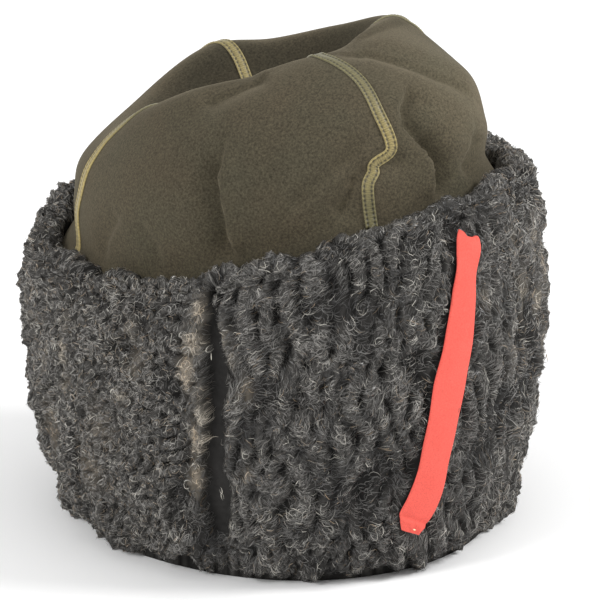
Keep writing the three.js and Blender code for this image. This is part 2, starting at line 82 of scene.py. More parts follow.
# The crown's section, a row for each twelfth of a turn: the radius of its rim in the fur, then
# radius and rise of the belly, the shoulder, the ridge and the floor of the sunken middle.
CROWN_ROWS = np.array([
    [0.955, 0.96, 0.37, 0.79, 0.76, 0.48, 0.94, 0.21, 0.60],
    [0.955, 0.92, 0.345, 0.81, 0.78, 0.49, 1.02, 0.22, 0.62],
    [0.955, 0.95, 0.33, 0.81, 0.79, 0.45, 1.02, 0.25, 0.63],
    [0.895, 0.91, 0.25, 0.845, 0.64, 0.49, 0.99, 0.27, 0.69],
    [0.955, 0.93, 0.28, 0.82, 0.68, 0.60, 0.92, 0.33, 0.52],
    [0.955, 0.95, 0.32, 0.78, 0.65, 0.58, 0.79, 0.35, 0.50],
    [0.955, 0.92, 0.29, 0.73, 0.60, 0.49, 0.72, 0.32, 0.53],
    [0.955, 0.88, 0.28, 0.71, 0.58, 0.49, 0.74, 0.30, 0.55],
    [0.905, 0.85, 0.22, 0.77, 0.42, 0.59, 0.56, 0.35, 0.49],
    [0.94, 0.93, 0.20, 0.885, 0.38, 0.67, 0.54, 0.36, 0.53],
    [0.955, 0.95, 0.29, 0.85, 0.54, 0.67, 0.72, 0.35, 0.59],
    [0.955, 0.97, 0.36, 0.83, 0.68, 0.60, 0.87, 0.28, 0.63],
])

# Places along the crown's section: from its rim to its middle, and below zero inside the fur.
SECTION_KNOTS = [0, 0.2, 0.42, 0.62, 0.82, 1]
SEAT_PLACE = -0.5
HEM_PLACE = -1
LAST_PLACE = 0.985
MIDDLE_RISE = 0.515
# How much darker the sunken middle of the crown is painted, as painted shade.
MIDDLE_PAINTED_SHADE = 0.36
FOLD_EDGE = 1.5
CROWN_COLUMNS = 300
CROWN_RINGS = 112
TUCK_ROWS = 8

# Folds of the cloth: a path from low to high of turns from FIRST_TURN and places along the
# section, how far the cloth is pressed in on its left and its right, and the half width, in
# millimetres. Below zero the cloth is raised.
FOLDS = [
    ([[-11, -0.12], [-11.5, 0], [-13.5, 0.05], [-15, 0.17], [-16.5, 0.26], [-15, 0.34]],
     6.5, -2.4, 8.0),
    ([[40, -0.14], [40, 0], [41, 0.10], [39.5, 0.18], [37, 0.25]], -2.4, 7.5, 8.5),
    ([[38.5, 0.20], [34.5, 0.30], [35, 0.37], [42, 0.44]], -0.8, 4.6, 8.0),
    ([[-8, 0.145], [-5.5, 0.17], [-3.5, 0.205], [0, 0.26]], 1.6, 1.6, 5.5),
    ([[2.5, 0.09], [10, 0.175], [18.5, 0.24], [24, 0.30]], 3.4, 1.0, 6.5),
    ([[14.5, 0.01], [18, 0.087], [20, 0.152], [19, 0.20]], 4.6, 2.0, 6.0),
    ([[18, 0.20], [22, 0.186], [26, 0.19], [34, 0.18]], 2.6, 2.6, 4.0),
    ([[-29.5, 0.51], [-17.5, 0.56], [-3, 0.597]], 3.0, 4.6, 8.5),
    ([[26, 0.62], [34, 0.60], [43, 0.58], [50, 0.513], [57, 0.43], [68, 0.31]], 2.2, 4.2, 8.0),
    ([[45, 0.64], [75, 0.612], [109, 0.555]], -1.5, 0.6, 6.0),
    ([[50, 0.02], [56, 0.12], [58, 0.20]], 1.2, 3.0, 9.0),
    ([[-60, 0.0], [-58, 0.08], [-50, 0.16]], 1.6, 0.4, 7.0),
    ([[-34, 0.0], [-36, 0.09], [-42, 0.16]], 1.2, 0.2, 6.0),
]

# The braids' paths over the crown: turns from FIRST_TURN and places along the section.
BRAID_PATHS = {
    "braid_side": [
        [282, -0.2], [280, 0.11], [283, 0.25], [284.5, 0.40], [286, 0.50], [293, 0.57],
        [301, 0.68], [298, 0.84], [0, 1], [100, 0.84], [103, 0.68], [110, 0.57], [117, 0.42],
        [118, 0.2], [117, -0.2],
    ],
    "braid_front": [
        [22, -0.2], [22, 0.13], [24.5, 0.19], [29.5, 0.24], [28, 0.38], [27.5, 0.49], [22, 0.61],
        [24, 0.84], [0, 1], [200, 0.84], [202, 0.70], [206, 0.58], [208, 0.42], [208, 0.2],
        [208, -0.2],
    ],
}

BRAID_STEP = 0.4
BRAID_POINTS = 13

RIBBON_PRESS = 2.4
RIBBON_RINGS = 190
RIBBON_POINTS = 25
STITCH_RING = 5
STITCH_WIDTH = 0.6

# The ribbon's own edges, from its foot to its top: height share and turn of the left edge, then
# of the right one.
RIBBON_EDGES = np.array([
    [0.150, -12.0, 0.128, -8.2], [0.209, -13.2, 0.155, -5.9], [0.254, -11.3, 0.185, -4.25],
    [0.315, -9.6, 0.262, -2.7], [0.379, -9.0, 0.335, -2.35], [0.443, -8.1, 0.40, -1.25],
    [0.507, -7.3, 0.47, -0.35], [0.575, -6.4, 0.54, 0.9], [0.64, -4.5, 0.60, 2.2],
    [0.70, -3.4, 0.665, 3.15], [0.76, -2.2, 0.73, 3.8], [0.81, -1.2, 0.79, 4.05],
    [0.85, -0.4, 0.83, 5.0], [0.885, -0.25, 0.865, 6.0], [0.915, -0.2, 0.885, 5.9],
    [0.938, 0.6, 0.90, 5.2],
])

# The sewn seam of the pelt: share of the band's height, turn, and width of the furrow.
SEAM_ROWS = np.array([
    [0.10, -54.4, 1.8], [0.156, -54.5, 7.5], [0.234, -54.0, 10.0], [0.308, -54.3, 10.0],
    [0.379, -53.8, 9.2], [0.486, -53.0, 8.6], [0.587, -52.5, 8.2], [0.687, -52.7, 7.8],
    [0.787, -53.2, 6.6], [0.861, -53.3, 4.6], [0.921, -53.2, 2.8], [0.97, -53.0, 1.8],
    [1.0, -53, 1.2],
])
SEAM_DEPTH = 10

# The fur unrolled: the step of its grids, and runs up the outline in millimetres to the ends of
# the rounded foot, the face, the roll and the inner wall. The shell is the coarser mesh.
FUR_STEP = 0.5
FUR_COLUMNS = 1440
ROUND_RUN = 13
FACE_RUN = 130
ROLL_RUN = math.pi * ROLL_RADIUS
ROLL_END = FACE_RUN + ROLL_RUN
FUR_RUN = 180
FUR_ROWS = int(FUR_RUN / FUR_STEP) + 1
SHELL_COLUMNS = 600
SHELL_ROWS = 124
INNER_ROWS = 6
FLOOR_GAP = 0.15

# Patterns of locks: their pitch as a share of the lock pitch, how strongly their ridges run up
# the band, and how unlike their widths are.
PIPES = (1.1, 0.25, 0.42)
KNOBS = (0.74, 0.0, 0.4)
FINE_LOCKS = (0.42, 0.0, 0.45)

# Turns in degrees: where the knobby fur left of the seam starts, and where the roll is fullest,
# with its half width there.
SEAM_TURN = -54
FULL_ROLL_TURN, FULL_ROLL_WIDTH = -104, 26

# The hairs: the piece's name, the setting that gives their number, points along each, length as a
# share of the hair length, bow in radians, least and most lift off the lock in millimetres, and
# how many more of them are pale, placed mostly in the painted glints, so partly pale hairs and
# partly painted highlights.
HAIR_KINDS = [
    ("fur_hair", "hair_count", 4, 1.1, 2.0, (0.08, 0.4), 0.0),
    ("fur_curl", "curl_count", 6, 1.55, 3.4, (0.2, 1.1), 0.2),
]
RING_STEPS = 12
SEAM_CURL_WIDTH = 0.24

# A strand's width and its brightness at places along it, from its root to its tip: the
# brightness is painted shade at the root, a painted highlight past the middle, and darker at the
# tip.
STRAND_PLACES = [0, 0.33, 0.67, 1]
STRAND_TAPER = [0.5, 1, 0.95, 0]
STRAND_PAINTED_LIGHT = [0.35, 1.0, 1.2, 0.7]


def linear(colour):
    """An sRGB hex colour as linear red, green and blue."""
    channels = [int(colour[start:start + 2], 16) / 255 for start in (1, 3, 5)]
    return [c / 12.92 if c <= 0.04045 else ((c + 0.055) / 1.055) ** 2.4 for c in channels]


def smooth_cubic(a, b, c, d, t):
    square = (2 * a - 5 * b + 4 * c - d) * t * t
    cube = (3 * b - a - 3 * c + d) * t * t * t
    return b + ((c - a) * t + square + cube) / 2


def around(values, turn):
    """A column of a table whose rows go round the hat, at turns in radians."""
    place = (turn - math.radians(FIRST_TURN)) / (2 * math.pi) * len(values)
    whole = np.floor(place).astype(int)
    a, b, c, d = (values[(whole + step) % len(values)] for step in (-1, 0, 1, 2))
    return smooth_cubic(a, b, c, d, place - whole)


def oval_radius(turn, outset=0):
    """The radius of the head's oval at turns, or of an oval that stands outside it all round."""
    return 1 / np.hypot(np.sin(turn) / (HEAD_WIDTH / 2 + outset),
                        np.cos(turn) / (HEAD_LENGTH / 2 + outset))


def band_height(turn):
    return BAND_HEIGHT * around(BAND_ROWS[:, 0], turn)


def foot_draw(turn):
    return FUR_DEPTH * around(BAND_ROWS[:, 1], turn)


def on_plan(turn, radius, height):
    return np.stack([radius * np.sin(turn), -radius * np.cos(turn), height + 0 * turn], axis=-1)


def turn_past(turn, degrees):
    """How far turns are past a turn in degrees, from minus half a turn to half a turn."""
    return (turn - np.radians(degrees) + math.pi) % (2 * math.pi) - math.pi


def turn_of(columns):
    """The turns of columns of the unrolled fur."""
    return (columns / FUR_COLUMNS * 2 - 1) * math.pi


def bell(distance, width):
    return np.exp(-((distance / width) ** 2))


def eased(value, low, high):
    """0 below low, 1 above high, and smooth between them."""
    share = np.clip((value - low) / (high - low), 0, 1)
    return share * share * (3 - 2 * share)


def outside_inset(turn, height):
    """How far the fur's smooth outside stands inside its oval above the rounded foot."""
    share = height / band_height(turn)
    drawn = np.maximum(0, 1 - share / DRAW_REACH_OUTSIDE) ** 2
    rolled = np.maximum(0, (share - DRAW_REACH_OUTSIDE) / (1 - DRAW_REACH_OUTSIDE)) ** 2
    return foot_draw(turn) * drawn + ROLL_DRAW * rolled


def inside_inset(turn, height):
    share = height / band_height(turn)
    at_foot = foot_draw(turn) + FOOT_ROUND_WIDTH + FOOT_RING - FUR_DEPTH
    return at_foot * np.maximum(0, 1 - share / DRAW_REACH_INSIDE) ** 2


def outline_point(turn, run):
    """The fur's smooth outside at a run along its outline, from the foot, up the outside, over
    the roll and down the inner wall."""
    roll_foot = band_height(turn) - ROLL_RADIUS
    bow = np.clip(run / ROUND_RUN, 0, 1) * math.pi / 2
    face = np.clip((run - ROUND_RUN) / (FACE_RUN - ROUND_RUN), 0, 1)
    round_height = FOOT_ROUND_HEIGHT * (1 - np.cos(bow))
    height = round_height + (roll_foot - FOOT_ROUND_HEIGHT) * face
    inset = outside_inset(turn, height) + FOOT_ROUND_WIDTH * (1 - np.sin(bow))
    swing = np.clip((run - FACE_RUN) / ROLL_RUN, 0, 1) * math.pi
    down = np.maximum(0, run - FACE_RUN - ROLL_RUN)
    outer, on_roll = oval_radius(turn, FUR_DEPTH), run >= FACE_RUN
    roll_middle = outer - ROLL_DRAW - ROLL_RADIUS
    radius = np.where(on_roll, roll_middle + ROLL_RADIUS * np.cos(swing), outer - inset)
    height = np.where(on_roll, roll_foot + ROLL_RADIUS * np.sin(swing) - down, height)
    return on_plan(turn, radius, height)


def unit(vectors):
    return vectors / np.maximum(np.linalg.norm(vectors, axis=-1, keepdims=True), 1e-9)


def grid_normals(points):
    """The outward direction at each point of a grid whose columns go round the hat."""
    across = np.roll(points, -1, 1) - np.roll(points, 1, 1)
    return unit(np.cross(across, np.gradient(points, axis=0)))


def sampled(grid, columns, rows):
    """Values between a grid's points. Columns go round, and rows are held at the ends."""
    rows = np.clip(rows, 0, grid.shape[0] - 1.001)
    row, column = np.floor(rows).astype(int), np.floor(columns).astype(int)
    down, across = rows - row, columns - column
    if grid.ndim > 2:
        down, across = down[..., None], across[..., None]
    left, right = column % grid.shape[1], (column + 1) % grid.shape[1]
    low = grid[row, left] * (1 - across) + grid[row, right] * across
    high = grid[row + 1, left] * (1 - across) + grid[row + 1, right] * across
    return low * (1 - down) + high * down


def blurred(grid, size):
    """A grid smoothed over a size in its own steps."""
    rows, columns = np.fft.fftfreq(grid.shape[0]), np.fft.rfftfreq(grid.shape[1])
    window = np.exp(-2 * (math.pi * size) ** 2 * (rows[:, None] ** 2 + columns[None] ** 2))
    return np.fft.irfft2(np.fft.rfft2(grid) * window, grid.shape)


def soft_noise(random, size):
    """Smooth noise over the unrolled fur, about -1 to 1, with humps of a size in millimetres."""
    noise = blurred(random.standard_normal((FUR_ROWS, FUR_COLUMNS)), size / FUR_STEP / 2)
    return noise / noise.std() / 2


def lock_pattern(random, lock_pitch, kind):
    """The ridges of the locks over the unrolled fur, from -1 in the valleys to 1 on the crests."""
    share, upright, spread = kind
    pitch = lock_pitch * share
    shape = (FUR_ROWS, FUR_COLUMNS)
    rows = np.fft.fftfreq(shape[0], FUR_STEP)[:, None]
    columns = np.fft.rfftfreq(shape[1], FUR_STEP)[None]
    waves = np.hypot(rows, columns)
    lean = (columns ** 2 - rows ** 2) / np.maximum(waves, 1e-9) ** 2
    band = np.exp(-(((waves * pitch - 1) / spread) ** 2)) * np.exp(upright * (lean - 1))
    pattern = random.standard_normal(shape)
    for _ in range(4):
        pattern = np.fft.irfft2(np.fft.rfft2(pattern) * band, shape)
        pattern = np.tanh(1.6 * pattern / pattern.std())
    pattern = np.fft.irfft2(np.fft.rfft2(pattern) * band, shape)
    strength = np.sqrt(blurred(pattern ** 2, pitch / FUR_STEP / 1.5) * 2)
    return np.clip(pattern / np.maximum(strength, 1e-6), -1, 1)


def along(rows, column, value):
    return np.interp(value, rows[:, 0], rows[:, column])


class UnrolledFur:
    """Grids over the unrolled fur: its surface, the crests of its locks and their directions."""

    def __init__(self, fur):
        random = np.random.default_rng(fur.seed)
        pitch = fur.lock_pitch / MM
        column, row = np.meshgrid(np.arange(FUR_COLUMNS), np.arange(FUR_ROWS))
        turn, run = turn_of(column), row * FUR_STEP
        outline = outline_point(turn, run)
        share = self.share = outline[..., 2] / band_height(turn)
        self.width = np.hypot(outline[..., 0], outline[..., 1])

        # The locks: upright pipes, knobs to the left of the seam, and swirls of both behind.
        pipes, knobs, fine = (lock_pattern(random, pitch, kind)
                              for kind in (PIPES, KNOBS, FINE_LOCKS))
        swirl = soft_noise(random, 30)
        on_left = eased(turn_past(turn, SEAM_TURN), 0, math.radians(-6))
        back = eased(abs(turn), math.radians(60), math.radians(110))
        knobby = np.clip(on_left + back * (0.5 + swirl) + 0.05
                         + 0.4 * eased(swirl, -0.1, 0.7), 0, 1)
        sway = [soft_noise(random, 22) * 9 + soft_noise(random, 10) * 7 for _ in range(2)]
        pipes = sampled(pipes, column + sway[0], row + sway[1])
        pattern = pipes * (1 - knobby) + knobs * knobby
        away = np.arccos(np.clip(pattern, -1, 1)) / math.pi * 1.12
        crest = np.sqrt(np.maximum(0, 1 - away ** 2))
        crest *= 1 - 0.6 * eased(soft_noise(random, 9), 0, 0.9)
        crest *= 0.78 + 0.22 * fine

        # The seam's furrow, and the bed that the ribbon presses into the fur.
        on_face = run < FACE_RUN + ROLL_RUN / 2
        from_seam = turn_past(turn, along(SEAM_ROWS, 1, share)) * self.width
        from_seam += 1.5 * soft_noise(random, 5)
        furrow = 1 - eased(np.abs(from_seam) / along(SEAM_ROWS, 2, share) * 2, 0.95, 1.45)
        furrow *= eased(share, 0.09, 0.16) * on_face
        left, right = (turn_past(turn, np.interp(share, *RIBBON_EDGES[:, places].T)) * self.width
                       for places in ((0, 1), (2, 3)))
        shadow = 1.1 * bell(share - 0.76, 0.09)
        bed = eased(left, -1.1 - shadow, 0.5 - shadow) * (1 - eased(right, -0.9, 1.0))
        bed *= eased(share, 0.12, 0.15) * (1 - eased(share, 0.893, 0.913)) * on_face

        # The depth of the surface inside the smooth outline.
        inside = eased(run, FACE_RUN + 0.55 * ROLL_RUN, ROLL_END)
        lumps = 2.5 * soft_noise(random, 7.5) + 0.9 * soft_noise(random, 22)
        relief = fur.lock_relief / MM * (1 - 0.1 * on_left) * (1 - 0.7 * inside)
        depth = relief * (1 - crest) + 0.9 + lumps * (1 - inside)
        puffed = eased(run, FACE_RUN + 0.35 * ROLL_RUN, FACE_RUN + 0.8 * ROLL_RUN)
        puffed *= 1 - eased(run, ROLL_END, ROLL_END + 12)
        full = bell(turn_past(turn, FULL_ROLL_TURN), math.radians(FULL_ROLL_WIDTH))
        depth -= (3.2 + 3.4 * full) * puffed * (0.7 + 0.6 * soft_noise(random, 12))
        depth = depth * (1 - bed) + (RIBBON_PRESS + 0.4) * bed
        depth = depth + (SEAM_DEPTH - depth) * furrow
        points = outline - grid_normals(outline) * depth[..., None]
        points[..., 2] = np.maximum(points[..., 2], 0)
        self.bed, self.furrow, self.crest = bed, furrow, crest * (1 - bed) * (1 - furrow)
        self.normals = grid_normals(points)
        self.shell_columns = np.arange(SHELL_COLUMNS) * FUR_COLUMNS / SHELL_COLUMNS
        self.shell_rows = np.linspace(0, FUR_ROWS - 1, SHELL_ROWS)
        self.shell = sampled(points, *np.meshgrid(self.shell_columns, self.shell_rows))

        # Which way the hairs lie, as the cosine and sine of twice their heading.
        slope_up, slope_across = np.gradient(blurred(pattern, 1.2))
        self.slope = np.stack([slope_across, slope_up], axis=-1)
        self.knobby = np.clip(0.25 + 0.65 * knobby, 0, 1)
        across, up, both = (blurred(product, 2.4) for product in (
            slope_across ** 2, slope_up ** 2, slope_across * slope_up))
        heading = 0.5 * np.arctan2(2 * both, across - up) + 1.1 * soft_noise(random, 9)
        beside = 0.45 * bell(from_seam + 7, 5)
        self.double_heading = np.stack([np.cos(2 * heading) * (1 - beside) - beside,
                                        np.sin(2 * heading) * (1 - beside)], axis=-1)
        # glint is a field of painted highlights: clusters of hairs in it are made greyer and more
        # often pale.
        self.bend, self.lean, self.tone, self.glint, self.bunch = (
            soft_noise(random, size) for size in (9, 8, 7, 2.6, 1.3))

    def above(self, columns, rows, rise):
        """Points at a rise above the pelt's mesh, which is coarser than the grids, and the
        outward direction there."""
        normals = sampled(self.normals, columns, rows)
        points = sampled(self.shell, columns * (SHELL_COLUMNS / FUR_COLUMNS),
                         rows * ((SHELL_ROWS - 1) / (FUR_ROWS - 1)))
        points = points + normals * rise[..., None]
        points[..., 2] = np.maximum(points[..., 2], FLOOR_GAP)
        return points, normals


def ring_faces(low, high, columns):
    """The faces between two closed rings of points, from where each starts."""
    first = np.arange(columns)
    after = (first + 1) % columns
    return np.stack([low + first, low + after, high + after, high + first], axis=-1)


def grid_faces(rows, columns):
    """The faces of a grid of points whose rows are closed rings."""
    return np.concatenate([ring_faces(row * columns, (row + 1) * columns, columns)
                           for row in range(rows - 1)])


def new_piece(name, points, faces, material, colours=None):
    """A smooth mesh from points in millimetres, groups of faces as arrays of their corners, and a
    colour for each point."""
    mesh = bpy.data.meshes.new(name)
    points = points.reshape(-1, 3)
    mesh.from_pydata(points * MM, [], [face for group in faces for face in group.tolist()])
    mesh.shade_smooth()
    mesh.validate()
    if colours is not None:
        layer = mesh.color_attributes.new("tone", "FLOAT_COLOR", "POINT")
        opaque = np.concatenate([colours.reshape(-1, 3), np.ones((len(points), 1))], axis=1)
        layer.data.foreach_set("color", opaque.astype(np.float32).ravel())
    mesh.materials.append(material)
    piece = bpy.data.objects.new(name, mesh)
    bpy.context.collection.objects.link(piece)
    return piece


def node(tree, kind, inputs=None, output=0, **settings):
    """Adds a node with its settings, and gives its output. inputs maps a socket to a value, or to
    an output to link."""
    made = tree.nodes.new(kind)
    for name, value in settings.items():
        setattr(made, name, value)
    for socket, value in (inputs or {}).items():
        if isinstance(value, bpy.types.NodeSocket):
            tree.links.new(value, made.inputs[socket])
        else:
            made.inputs[socket].default_value = value
    return made.outputs[output] if made.outputs else None


def new_material(name):
    material = bpy.data.materials.new(name)
    material.use_nodes = True
    material.node_tree.nodes.clear()
    return material


def speckled(tree, colour, size, shades, detail=2.0, roughness=0.5):
    """A colour broken up by specks of a size in millimetres, between two shades of it, and the
    specks themselves."""
    place = node(tree, "ShaderNodeTexCoord", output="Object")
    speck = node(tree, "ShaderNodeTexNoise", {"Vector": place, "Scale": 1 / (size * MM),
                                              "Detail": detail, "Roughness": roughness})
    shade = node(tree, "ShaderNodeMapRange", {"Value": speck, "From Min": 0.3, "From Max": 0.7,
                                              "To Min": shades[0], "To Max": shades[1]})
    return node(tree, "ShaderNodeMix", {0: 1.0, 6: colour, 7: shade}, output=2,
                data_type="RGBA", blend_type="MULTIPLY"), speck


def mottled(tree, first, second, size, detail):
    """Two colours mixed in soft patches of a size in millimetres."""
    place = node(tree, "ShaderNodeTexCoord", output="Object")
    patch = node(tree, "ShaderNodeTexNoise", {"Vector": place, "Scale": 1 / (size * MM),
                                              "Detail": detail})
    return node(tree, "ShaderNodeMix", {0: patch, 6: (*first, 1), 7: (*second, 1)}, output=2,
                data_type="RGBA")


def surfaced(tree, inputs):
    """Ends a material in a surface with these values."""
    surface = node(tree, "ShaderNodeBsdfPrincipled", inputs)
    node(tree, "ShaderNodeOutputMaterial", {"Surface": surface})


def toned_fibre(name, roughness, shine):
    """A fibre with its tone in its points. Dyed lamb fur is charcoal to grey and glints where it
    bows over each lock, partly by its shine and partly by painted highlights and painted shade in
    its point tones, its pelt is matt, and sewing thread is pale with a low shine. A single hair is
    about 0.03 mm thick, too fine to show, so each strip stands for a strand of them."""
    material = new_material(name)
    tree = material.node_tree
    tone = node(tree, "ShaderNodeAttribute", attribute_name="tone")
    colour, _ = speckled(tree, tone, 2.38, (0.8, 1.2), 3.0, 0.6)
    surfaced(tree, {"Base Color": colour, "Roughness": roughness, "IOR": 1.55,
                    "Specular IOR Level": shine})
    return material


def milled_wool(cloth):
    """Milled wool broadcloth, brushed to a short nap: dull olive brown with fine pale and dark
    fibres, and a soft edge where the nap catches the light. Its fibres are about 0.02 mm thick,
    too fine to show, so the specks are drawn 0.9 mm wide."""
    material = new_material("milled_wool_broadcloth")
    tree = material.node_tree
    wide = mottled(tree, cloth.colour, cloth.warm_colour, 26.3, 3.0)
    # The points' tone is painted light and shade: darker in the sunken middle, lighter on the right
    # lobe and the low front.
    painted_light_and_shade = node(tree, "ShaderNodeAttribute", attribute_name="tone")
    wide = node(tree, "ShaderNodeMix", {0: 1.0, 6: wide, 7: painted_light_and_shade}, output=2,
                data_type="RGBA", blend_type="MULTIPLY")
    colour, fibre = speckled(tree, wide, 0.909, (0.4, 1.65), 4.0, 0.75)
    bump = node(tree, "ShaderNodeBump", {"Height": fibre, "Strength": 0.35, "Distance": 0.0005})
    surfaced(tree, {"Base Color": colour, "Roughness": 0.95, "IOR": 1.5, "Normal": bump,
                    "Specular IOR Level": 0.2, "Sheen Weight": 0.35, "Sheen Roughness": 0.5,
                    "Sheen Tint": (*linear("#a89c84"), 1)})
    return material


def woven_galloon():
    """Woven rayon galloon: olive to old gold threads with a low shine, its tone in its points.
    Its threads are about 0.3 mm apart, and are drawn as specks twice as wide to show."""
    material = new_material("woven_rayon_galloon")
    tree = material.node_tree
    tone = node(tree, "ShaderNodeAttribute", attribute_name="tone")
    colour, _ = speckled(tree, tone, 0.667, (0.75, 1.25))
    surfaced(tree, {"Base Color": colour, "Roughness": 0.5, "IOR": 1.5, "Sheen Weight": 0.2})
    return material


def woven_cotton_tape(ribbon):
    """Woven cotton tape, dyed coral red: matt, with a fine plain weave that only just shows. Its
    threads are about 0.3 mm apart, and are drawn as specks twice as wide to show."""
    material = new_material("woven_cotton_tape")
    tree = material.node_tree
    worn = mottled(tree, ribbon.colour, ribbon.worn_colour, 16.7, 4.0)
    colour, weave = speckled(tree, worn, 0.588, (0.88, 1.1))
    bump = node(tree, "ShaderNodeBump", {"Height": weave, "Strength": 0.3, "Distance": 0.0003})
    surfaced(tree, {"Base Color": colour, "Roughness": 0.8, "IOR": 1.5, "Normal": bump,
                    "Specular IOR Level": 0.25})
    return material


def crown_controls(turn):
    head, fur = oval_radius(turn), band_height(turn)
    way = BAND_HEIGHT + CROWN_RISE - fur
    row = [around(column, turn) for column in CROWN_ROWS.T]
    section = [(head * row[i], fur + way * row[i + 1]) for i in (1, 3, 5, 7)]
    floor = section[-1]
    middle = BAND_HEIGHT + MIDDLE_RISE * CROWN_RISE + 0 * turn
    seat = (head - SEAT_GAP, fur - SEAT_DROP)
    points = [seat, (head * row[0], fur), *section, (0 * turn, middle), (-floor[0], floor[1])]
    return [np.stack(point, axis=-1) for point in points]


def crown_point(turn, place):
    """A point of the crown without its fine folds, from the hem inside the fur to the middle."""
    turn, place = np.broadcast_arrays(np.asarray(turn, float), np.asarray(place, float))
    controls = crown_controls(turn)
    seat, rim = controls[0], controls[1]
    below = np.clip((place - SEAT_PLACE) / (HEM_PLACE - SEAT_PLACE), 0, 1)[..., None]
    hem = seat - np.stack([0 * turn, (CLOTH_TUCK - SEAT_DROP) + 0 * turn], axis=-1)
    tuck = np.clip(place / SEAT_PLACE, 0, 1)[..., None]
    result = rim + (seat - rim) * tuck + (hem - seat) * below
    for knot, (low, high) in enumerate(zip(SECTION_KNOTS, SECTION_KNOTS[1:])):
        t = ((place - low) / (high - low))[..., None]
        a, b, c, d = controls[knot:knot + 4]
        here = (place > low) & (place <= high)
        result = np.where(here[..., None], smooth_cubic(a, b, c, d, t), result)
    return on_plan(turn, result[..., 0], result[..., 1])


def path_distance(points, path, outward=(0, 0, 1)):
    """How far points are from a path of points, their share of the way along it, and how far they
    are to its right."""
    steps = np.linalg.norm(np.diff(path, axis=0), axis=1)
    starts = np.concatenate([[0], np.cumsum(steps)])
    nearest, place = np.full(points.shape[:-1], 1e9), np.zeros(points.shape[:-1])
    side = np.zeros(points.shape[:-1])
    for start, end, length, run in zip(path, path[1:], steps, starts):
        heading = (end - start) / length
        share = np.clip((points - start) @ heading / length, 0, 1)
        offset = points - start - share[..., None] * (end - start)
        distance = np.linalg.norm(offset, axis=-1)
        closer = distance < nearest
        nearest = np.where(closer, distance, nearest)
        place = np.where(closer, (run + share * length) / starts[-1], place)
        right = np.sum(np.cross(heading, outward) * offset, axis=-1)
        side = np.where(closer, right, side)
    return nearest, place, side


def crown_grid(turns, places):
    """The crown's outer surface with its folds."""
    turn, place = np.meshgrid(turns, places)
    points = crown_point(turn, place)
    normals = grid_normals(points)
    inward = np.zeros(points.shape[:-1])
    for path, left, right, width in FOLDS:
        corners = np.array([crown_point(math.radians(FIRST_TURN + t), p) for t, p in path])
        distance, share, side = path_distance(points, corners, normals)
        ends = 1 - 0.75 * eased(np.abs(share - 0.5), 0.3, 0.5)
        step = eased(side, -FOLD_EDGE, FOLD_EDGE)
        inward += (left + (right - left) * step) * bell(distance, width) * ends
    return points - normals * (inward * eased(place, -0.2, 0.03))[..., None]


def galloon_centres(path, tree):
    """Points along a braid on the crown's cloth, a braid step apart."""
    turns, places = np.radians(FIRST_TURN + np.array(path)[:, 0]), np.array(path)[:, 1]
    knots = crown_point(turns, places)
    knots = np.concatenate([[2 * knots[0] - knots[1]], knots, [2 * knots[-1] - knots[-2]]])
    t = np.linspace(0, 1, 40, endpoint=False)[:, None]
    curve = np.concatenate([smooth_cubic(*knots[i:i + 4], t) for i in range(len(knots) - 3)])
    return resampled(on_cloth(curve, tree)[0], BRAID_STEP)


def resampled(points, step):
    run = np.concatenate([[0], np.cumsum(np.linalg.norm(np.diff(points, axis=0), axis=1))])
    at = np.linspace(0, run[-1], int(run[-1] / step))
    return np.stack([np.interp(at, run, points[:, axis]) for axis in range(3)], axis=-1)


def on_cloth(points, tree):
    """The nearest points on the crown's cloth and its direction there."""
    found = [tree.find_nearest(Vector(point)) for point in points.reshape(-1, 3)]
    touch = np.array([hit[0] for hit in found]).reshape(points.shape)
    normal = np.array([hit[1] for hit in found]).reshape(points.shape)
    return touch, normal


def smoothed_line(values, reach):
    """A running mean of the rows of an array over a number of them."""
    window = np.hanning(reach + 2)[1:-1]
    padded = np.pad(values, ((reach // 2, reach - 1 - reach // 2), (0, 0)), mode="edge")
    parts = [np.convolve(padded[:, axis], window / window.sum(), "valid") for axis in range(3)]
    return np.stack(parts, axis=-1)


def smoothed_rows(values):
    """A column of a table smoothed over a few of its rows, and held at its ends."""
    padded = np.pad(values, 6, mode="edge")
    return np.convolve(padded, np.ones(13) / 13, "valid")


def length_setting(name, description, metres):
    return bpy.props.FloatProperty(name=name, description=description, default=metres,
                                   unit="LENGTH")


def number_setting(name, description, default):
    return bpy.props.IntProperty(name=name, description=description, default=default, min=0)


def colour_setting(name, description, shade):
    return bpy.props.FloatVectorProperty(name=name, description=description, subtype="COLOR",
                                         default=linear(shade))


class FurSettings(bpy.types.PropertyGroup):
    seed: number_setting("Seed", "Which pelt of fur it is", 7)
    lock_pitch: length_setting("Lock Pitch", "From one curled lock to the next", 0.0080)
    lock_relief: length_setting("Lock Relief", "Depth of the valleys between the locks", 0.0056)
    hair_count: number_setting("Hairs", "How many short hairs lie over the locks", 98000)
    curl_count: number_setting("Curls", "How many longer hairs curl out of the locks", 17000)
    ring_count: number_setting("Rings", "How many single hairs are curled to rings", 1300)
    hair_length: length_setting("Hair Length", "Length of a hair's visible bow", 0.0046)
    hair_width: length_setting("Hair Width", "Width of a strand of hairs, each too fine to show",
                               0.00028)
    dark: colour_setting("Dark Hair", "Colour of the darkest hairs", "#282726")
    grey: colour_setting("Grey Hair", "Colour of the greyer hairs", "#8e8b86")
    pale: colour_setting("Pale Hair", "Colour of the palest hairs", "#c9c5ba")
    tan: colour_setting("Tan Hair", "Colour of the sun-bleached tips", "#ac9270")


class ClothSettings(bpy.types.PropertyGroup):
    thickness: length_setting("Thickness", "Thickness of the milled cloth", 0.0018)
    colour: colour_setting("Cloth", "Main colour of the cloth", "#3d3b2f")
    warm_colour: colour_setting("Warm Cloth", "Browner colour that it is mottled with", "#443c2f")


